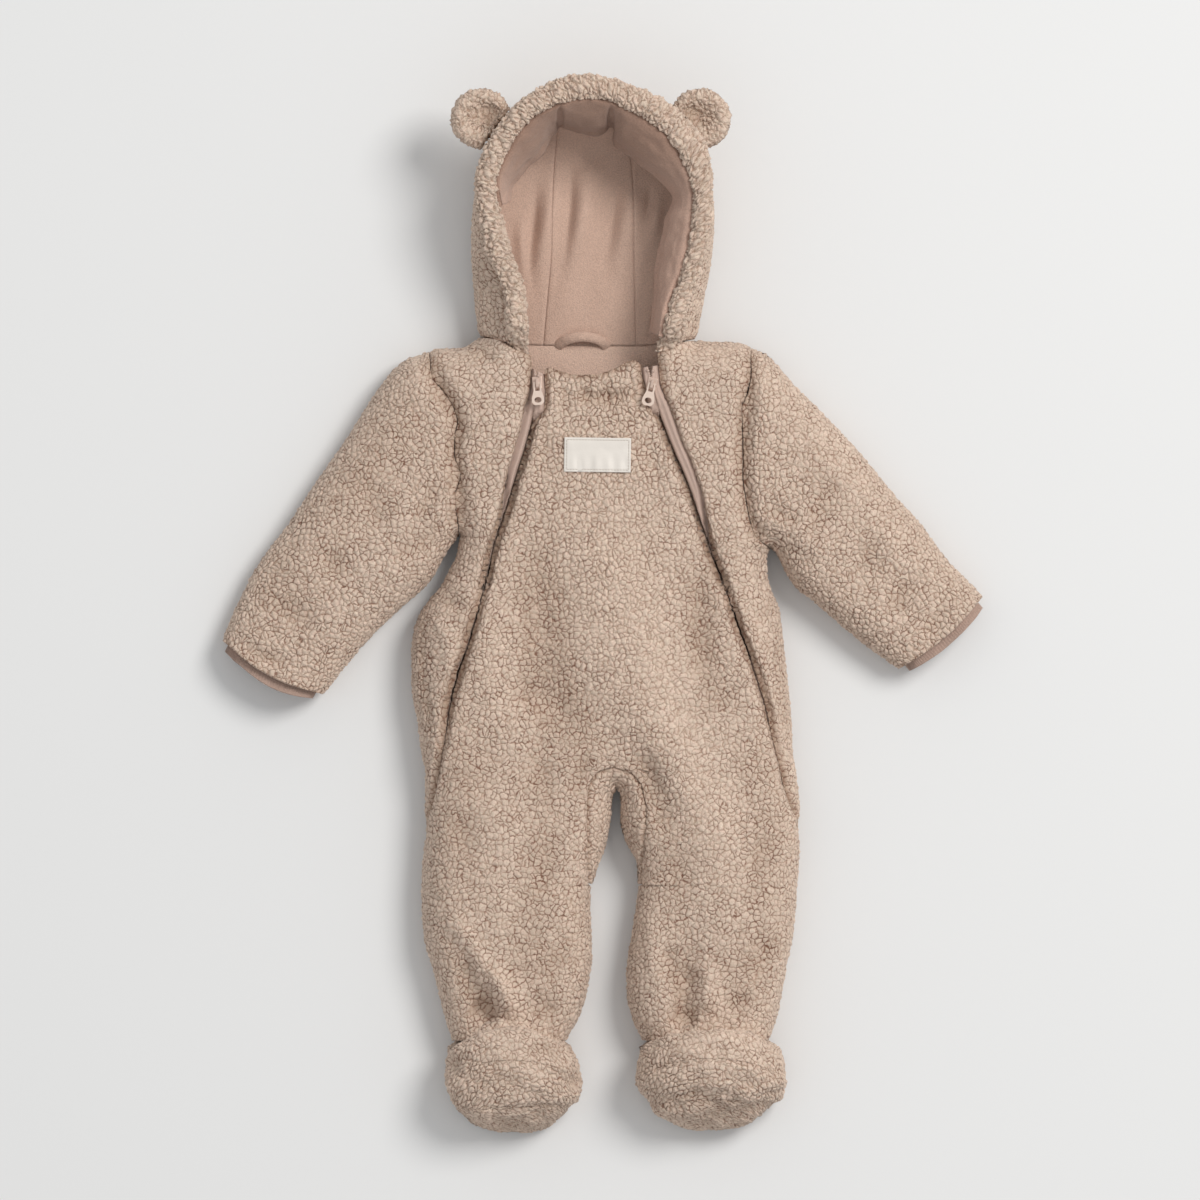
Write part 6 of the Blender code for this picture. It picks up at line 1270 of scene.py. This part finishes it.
# ---------------------------------------------------------------- feet
for side, tag in ((-1, "left"), (1, "right")):
    def lumpy(seed):
        pile = pile_depth(seed=seed, seam_dip=0.0004)
        def f(P, N, X):
            push, attr = pile(P, N, X); k = smooth01(P[:, 2] / 0.012); a = (value(P * [1, 1.9, 1], 0.021, seed + 7) - 0.5) * k; b = (value(P * [1, 1.6, 1], 0.0095, seed + 8) - 0.5) * k   # none where it rests
            # painted shade in the lumps' dents and painted light on their bulges; the painted seam shade is weakened
            low = np.clip(2.2 * a + 1.2 * b, -1, 1); attr[:, 1] = np.clip(attr[:, 1] + 0.30 * low, 0, 1); attr[:, 2] *= 0.35
            return push + 0.0062 * a + 0.0026 * b, attr
        return f
    def half(k0, k1, rows, cols, top):
        ks = np.linspace(k0, k1, rows); G = foot_grid(side, ks, cols, top); G[..., 2] *= (1 - 0.105 * (1 - smooth01(ks / 0.9)))[:, None]; c = np.array([G[0, :, 0].mean(), G[0, :, 1].mean(), 0.020])
        if k0 == 0: G = np.concatenate([[c + (G[0] - c) * [q, 1, q] + [0, y, 0] for q, y in ((0.82, 0.0060), (0.90, 0.0034), (0.965, 0.0012))], G])   # turned in behind the leg's end
        N = turn_normals(G, grid_normals(G, 1), (0, 0, 1 if top else -1))
        return G, N
    for part, k0, k1, rows, top in (("vamp", 0, 3, 40, True), ("toe", 3, 5, 42, True), ("heel", 0, 5, 60, False)):
        G, N = half(k0, k1, rows, 128 if top else 62, top)
        ob = cloth(f"foot_{tag}_{part}", [(G, N, False, {"seam": seam_distance(G, "lr" + ("b" if part != "toe" else "tb")), **flat_uv(G, "m")})], PILE * 0.8, lumpy(101 + side), PILE_M)
        place(ob, f"foot_{tag}_{part}", "pile_fleece")
    G, N = half(5, 8, 36, 128, True); H, M = half(5, 8, 36, 72, False)
    H[:, 0], H[:, -1] = G[:, 0], G[:, -1]
    ring = np.concatenate([G, H[:, ::-1][:, 1:-1]], 1); c = ring[-1].mean(0)
    ring = np.concatenate([ring, ring[-1:] + (c - ring[-1:]) * 0.5, ring[-1:] * 0 + c]); NR = ring_normals(ring); NR[-2:] = (0, -1, 0); NR[-1] = (0, -1, 0)
    ob = cloth(f"foot_{tag}_sole", [(ring, NR, True, {"seam": seam_distance(ring, "t"), **flat_uv(ring)})], PILE * 0.8, lumpy(101 + side), PILE_M)
    place(ob, f"foot_{tag}_sole", "pile_fleece")

# ---------------------------------------------------------------- rib cuffs
for side, tag in ((-1, "left"), (1, "right")):
    ks = np.linspace(6.9, 8.85, 30); P, N, Q, M = tube(side, ks, 150, 150)
    P = np.concatenate([P, Q[:, ::-1][:, 1:-1]], 1); N = np.concatenate([N, M[:, ::-1][:, 1:-1]], 1)
    L = arc_from(P, 1, False); total = np.median(L[:, -1]); ribs = round(total / 0.0022)
    phase = L / L[:, -1:] * ribs * 2 * np.pi
    def rib_depth(P, N, X): return 0.00045 * (1 - np.cos(X["phase"])) * 0.9 + 0.0002 * (value(P, 0.001, 701) - 0.5), np.ones((len(P), 3))
    ob = cloth("cuff_" + tag, [(P - N * (PILE + 0.0010), N, True, {"phase": phase})], RIB, rib_depth, RIB_M)
    place(ob, "cuff_" + tag, "rib_knit")

# ---------------------------------------------------------------- zips, stitches and label
def rods(name, A, B, up, r, mat, sides=6, flat=1.0):
    """Many short rounded rods from A to B in one mesh."""
    A, B, up = np.asarray(A), np.asarray(B), np.asarray(up); r = np.broadcast_to(r, (len(A),))
    d = B - A; d /= np.maximum(np.linalg.norm(d, axis=1, keepdims=True), 1e-9)
    x = np.cross(d, up); x /= np.linalg.norm(x, axis=1, keepdims=True); y = np.cross(x, d)
    ph = np.arange(sides) / sides * 2 * np.pi; V, F, O = [], [], []; ks = ((0.0, 0.55), (0.16, 1.0), (0.84, 1.0), (1.0, 0.55)); n = len(ks) * sides
    for i in range(len(A)):
        for t, q in ks:
            V.append((A[i] + (B[i] - A[i]) * t)[None] + r[i] * q * (np.cos(ph)[:, None] * x[i][None] + flat * np.sin(ph)[:, None] * y[i][None]))
        for k in range(len(ks) - 1):
            for j in range(sides): F.append([i * n + k * sides + j, i * n + k * sides + (j + 1) % sides, i * n + (k + 1) * sides + (j + 1) % sides, i * n + (k + 1) * sides + j])
        O.append([i * n + j for j in range(sides)][::-1]); O.append([i * n + (len(ks) - 1) * sides + j for j in range(sides)])
    ob = new_mesh(name, np.concatenate(V), F, O, None, mat)
    fix_faces(ob)
    return ob

def fix_faces(ob):
    bm = bmesh.new(); bm.from_mesh(ob.data); bmesh.ops.recalc_face_normals(bm, faces=bm.faces); bm.to_mesh(ob.data); bm.free()

def along(G, reach):
    """Point at distance reach (an array) along each row of G from its first column, in plan."""
    d = np.concatenate([np.zeros((len(G), 1)), np.cumsum(np.linalg.norm(np.diff(G, axis=1), axis=2), 1)], 1); out = np.empty((len(G), len(reach[0]), 2))
    for i in range(len(G)):
        for m in (0, 1): out[i, :, m] = np.interp(np.minimum(reach[i], d[i, -1] * 0.6), d[i], G[i, :, m])
    return out

W_SLIDE = {-1: 0.20, 1: 0.20}
for side, tag, slide_y in ((-1, "left", 383.0), (1, "right", 384.0)):
    zr = rows_for(0.067, float(w_of_y(813)), 0.0016)
    xi, xz, xo = inner_x(side, zr, True), zip_x(side, zr), outer_x(side, zr, True); yz = row_y(zr, xz, True)
    A, _ = section(zr, xi, xz, 60, True); B, _ = section(zr, xz, xo, 60, True); A = A[:, ::-1]
    apart = smooth01((slide_y - 4 - yz) / 22.0); sheets = []; edges = []
    for G, far, spread, sgn in ((A, np.interp(zr, (0.26, 0.48), (0.0082, 0.0040)), 0.0022, -1), (B, np.full(len(zr), 0.0085), 0.0020, 1)):
        s0 = 0.00022 + spread * apart; u = np.concatenate([np.linspace(0, 0.35, 9), np.linspace(0.35, 1, 8)[1:]])
        reach = s0[:, None] + (far - s0)[:, None] * u[None]
        go, gm = tape_gap(zr, side); shown = (gm if sgn < 0 else go)[:, None]
        T = along(G, reach); P, N = upper(T, lift); P = P - N * (0.0017 + (PILE + 0.0014 - 0.0017) * smooth01((reach - (shown - 0.0023)) / 0.0019))[..., None]
        sheets.append((P, N, False, {"s": reach - s0[:, None], "seam": seam_distance(P, "t")})); edges.append((P, N, T))
    def tape_depth(P, N, X):
        s = X["s"]; push = -0.00055 * np.exp(-((s - 0.0009) / 0.0008) ** 2) + 0.0006 * np.exp(-(s / 0.00035) ** 2) + 0.0005 * (value(P, 0.012, 811) - 0.5)
        push -= 0.00012 * np.exp(-((s - 0.0034) / 0.0003) ** 2)
        return push, np.ones((len(P), 3))
    ob = cloth("zip_tape_" + tag, sheets, 0.0010, tape_depth, TAPE_M)
    place(ob, "zip_tape_" + tag, "zip_tape")
    # coil elements on both edges, from the top to where the pile closes over the zip
    ta, tb, tn, tr = [], [], [], []
    for (P, N, T), off in zip(edges, (0.0, 0.5)):
        E0, E1 = P[:, 0], P[:, 5]; run = np.concatenate([[0], np.cumsum(np.linalg.norm(np.diff(E0, axis=0), axis=1))])
        stop = np.interp(560.0, yz, run); at = np.arange(0.0030 + off * 0.0013, stop, 0.0013)
        pick = lambda F: np.stack([np.interp(at, run, F[:, m]) for m in range(3)], 1)
        a, b, n = pick(E0), pick(E1), pick(N[:, 0]); d = b - a; d /= np.linalg.norm(d, axis=1)[:, None]
        ta.append(a - d * 0.00035 + n * 0.00022); tb.append(a + d * 0.0013 + n * 0.00045); tn.append(n); tr.append(np.full(len(at), 0.00042))
        # stop at the top of each side
        ta.append((a[:1] + n[:1] * 0.0005) - d[:1] * 0.0002); tb.append(a[:1] + d[:1] * 0.0020 + n[:1] * 0.0005); tn.append(n[:1]); tr.append(np.full(1, 0.0011))
    ob = rods("zip_coil_" + tag, np.concatenate(ta), np.concatenate(tb), np.concatenate(tn), np.concatenate(tr), COIL_M, 8)
    place(ob, None, "zip_tape")
    for node, mat in (("slider_" + tag, METAL_M), ("pull_" + tag, PULL_M)):
        for s in frame["nodes"][node].material_slots: s.link = "OBJECT"; s.material = mat

# woven label: a soft patch sewn on all round
LW, LH, LTURN = 0.048, 0.0248, math.radians(-0.8); LC = metres((597.5, 455))
def on_label(u, v):
    xy = np.stack([LC[0] + u * math.cos(LTURN) - v * math.sin(LTURN), LC[1] + u * math.sin(LTURN) + v * math.cos(LTURN)], -1)
    P, N = upper(xy, lift); return P, N
def label_wave(P):
    """Soft buckles: broad ones, and upright ones along the lower hem."""
    v = (P[..., 1] - LC[1]) / LH; x = P[..., 0] - LC[0]; low = smooth01((0.12 - v) / 0.5)
    up = np.stack([P[..., 0], P[..., 1] * 0.16, 0 * P[..., 0]], -1)
    return 0.0015 * (value(P, 0.015, 901) - 0.5) + 0.0004 * (value(P, 0.006, 902) - 0.5) + 0.0016 * low * (value(up, 0.0042, 903) - 0.5) + 0.0007 * smooth01((v - 0.1) / 0.4)
uu, vv = np.meshgrid(np.linspace(-LW / 2, LW / 2, 91), np.linspace(LH / 2, -LH / 2, 49)); P, N = on_label(uu, vv)
hem = seam_distance(P, "lrtb"); P = P + N * 0.0011
def label_depth(P, N, X):
    s = X["seam"]
    return 0.00032 * np.exp(-((s - 0.0017) / 0.00045) ** 2) + 0.00035 * (1 - smooth01(s / 0.0009)) - 0.00018 * smooth01((s - 0.0022) / 0.004) - label_wave(P), np.ones((len(P), 3))
ob = cloth("label", [(P, N, False, {"seam": hem, "u": uu, "v": vv})], 0.0007, label_depth, SATIN_M)
place(ob, "label", "satin")
a, b = LW / 2 - 0.0017, LH / 2 - 0.0017; path = []
for (x0, y0), (x1, y1) in (((-a, b), (a, b)), ((a, b), (a, -b)), ((a, -b), (-a, -b)), ((-a, -b), (-a, b))):
    n = int(round(math.hypot(x1 - x0, y1 - y0) / 0.0021)); t = np.linspace(0, 1, n + 1)
    for i in range(n):
        q = lambda w: (x0 + (x1 - x0) * w, y0 + (y1 - y0) * w); path.append((q(t[i] + 0.12 / n), q(t[i + 1] - 0.12 / n)))
S = np.array(path); P0, N0 = on_label(S[:, 0, 0], S[:, 0, 1]); P1, N1 = on_label(S[:, 1, 0], S[:, 1, 1])
raise_ = lambda P, N: P + N * (0.0011 - 0.00024 + 0.00010 + label_wave(P + N * 0.0011))[:, None]
ob = rods("label_stitches", raise_(P0, N0), raise_(P1, N1), N0, 0.00024, LABEL_THREAD_M, 6)
place(ob, None, "satin")

# ---------------------------------------------------------------- floor, light and camera
bpy.ops.mesh.primitive_plane_add(size=9, location=(0, 0, -0.0004)); floor = bpy.context.object; floor.name = "floor"; floor.data.materials.append(floor_material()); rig.stage(floor)

def lamp(name, where, target, size, watts, colour=(1, 1, 1), size_y=None):
    d = bpy.data.lights.new(name, "AREA"); d.energy = watts; d.color = colour; d.shape = "RECTANGLE" if size_y else "DISK"; d.size = size
    if size_y: d.size_y = size_y
    o = bpy.data.objects.new(name, d); bpy.context.scene.collection.objects.link(o); o.location = where
    v = np.array(target, float) - np.array(where, float); from_vec = Vector(v)
    o.rotation_euler = from_vec.to_track_quat("-Z", "Y").to_euler(); return o
lamp("key", (3.0, 2.3, 4.4), (0, 0, 0), 2.5, 200.0, (1.0, 0.985, 0.965))
world = bpy.data.worlds.new("studio"); bpy.context.scene.world = world; world.use_nodes = True
bg = world.node_tree.nodes["Background"]; bg.inputs[0].default_value = (0.985, 0.992, 1.0, 1); bg.inputs[1].default_value = 0.575

cam_data = bpy.data.cameras.new("camera"); cam = bpy.data.objects.new("camera", cam_data); bpy.context.scene.collection.objects.link(cam)
DIST, ZREF, WIDE = 16.0, 0.030, 1200 * UNIT
cam_data.sensor_width = 36.0; cam_data.sensor_fit = "HORIZONTAL"; cam_data.lens = 36.0 * (DIST - ZREF) / WIDE; cam_data.clip_end = 50
cam.location = ((600 - CX) * UNIT, (CY - 600) * UNIT, DIST); cam.rotation_euler = (0, 0, 0)
bpy.context.scene.camera = cam
bpy.context.scene.view_settings.view_transform = "Standard"; bpy.context.scene.view_settings.look = "None"

json.dump({"cad": [list(map(float, p)) for p in CAD_BOX], "visual": [list(map(float, p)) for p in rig.bounds()]}, open("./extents.json", "w"))
# every cloth piece is declared: its cut's size (all round on a tube) and flat area
def lies_on(name):
    if name == "front_middle": return ["back_left", "back_right"]
    if name.startswith(("side_front", "crotch", "zip_tape")): return ["back_" + ("right" if name.endswith("right") else "left")]
    if name == "label": return ["front_middle"]
    if name.startswith("lining_"): return ["hood_" + name[7:]]
    if name.startswith("ear_"): return ["hood_brim"]
    if name in ("hood_brim", "hood_facing"): return ["hood_side_left", "hood_side_right"]
    if name == "neck_lining": return ["back_left", "back_right"]
    if name == "hanger_loop": return ["neck_lining"]
    if name.endswith(("_vamp", "_toe")): return [name.rsplit("_", 1)[0] + "_heel"]
    return ["floor"]
WITH = {"label": ["label_stitches"], "zip_tape_left": ["zip_coil_left"], "zip_tape_right": ["zip_coil_right"]}
NAMED = {ob.name.split(".")[0]: ob for ob in MADE}
for base, ob in NAMED.items():
    if base not in FLAT: continue
    w, l, area = FLAT[base]; w, l = max(w, 0.0101), max(l, 0.0101)
    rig.sheet(ob, flat=(round(w, 4), round(l, 4)), held="laid", rests_on=[NAMED[n].name if n in NAMED else n for n in lies_on(base)], area=round(min(max(area, 0.31 * w * l), 0.999 * w * l), 6), with_pieces=[NAMED[n] for n in WITH.get(base, []) if n in NAMED])
    print("SHEET", base, round(w, 3), round(l, 3), round(area, 4))
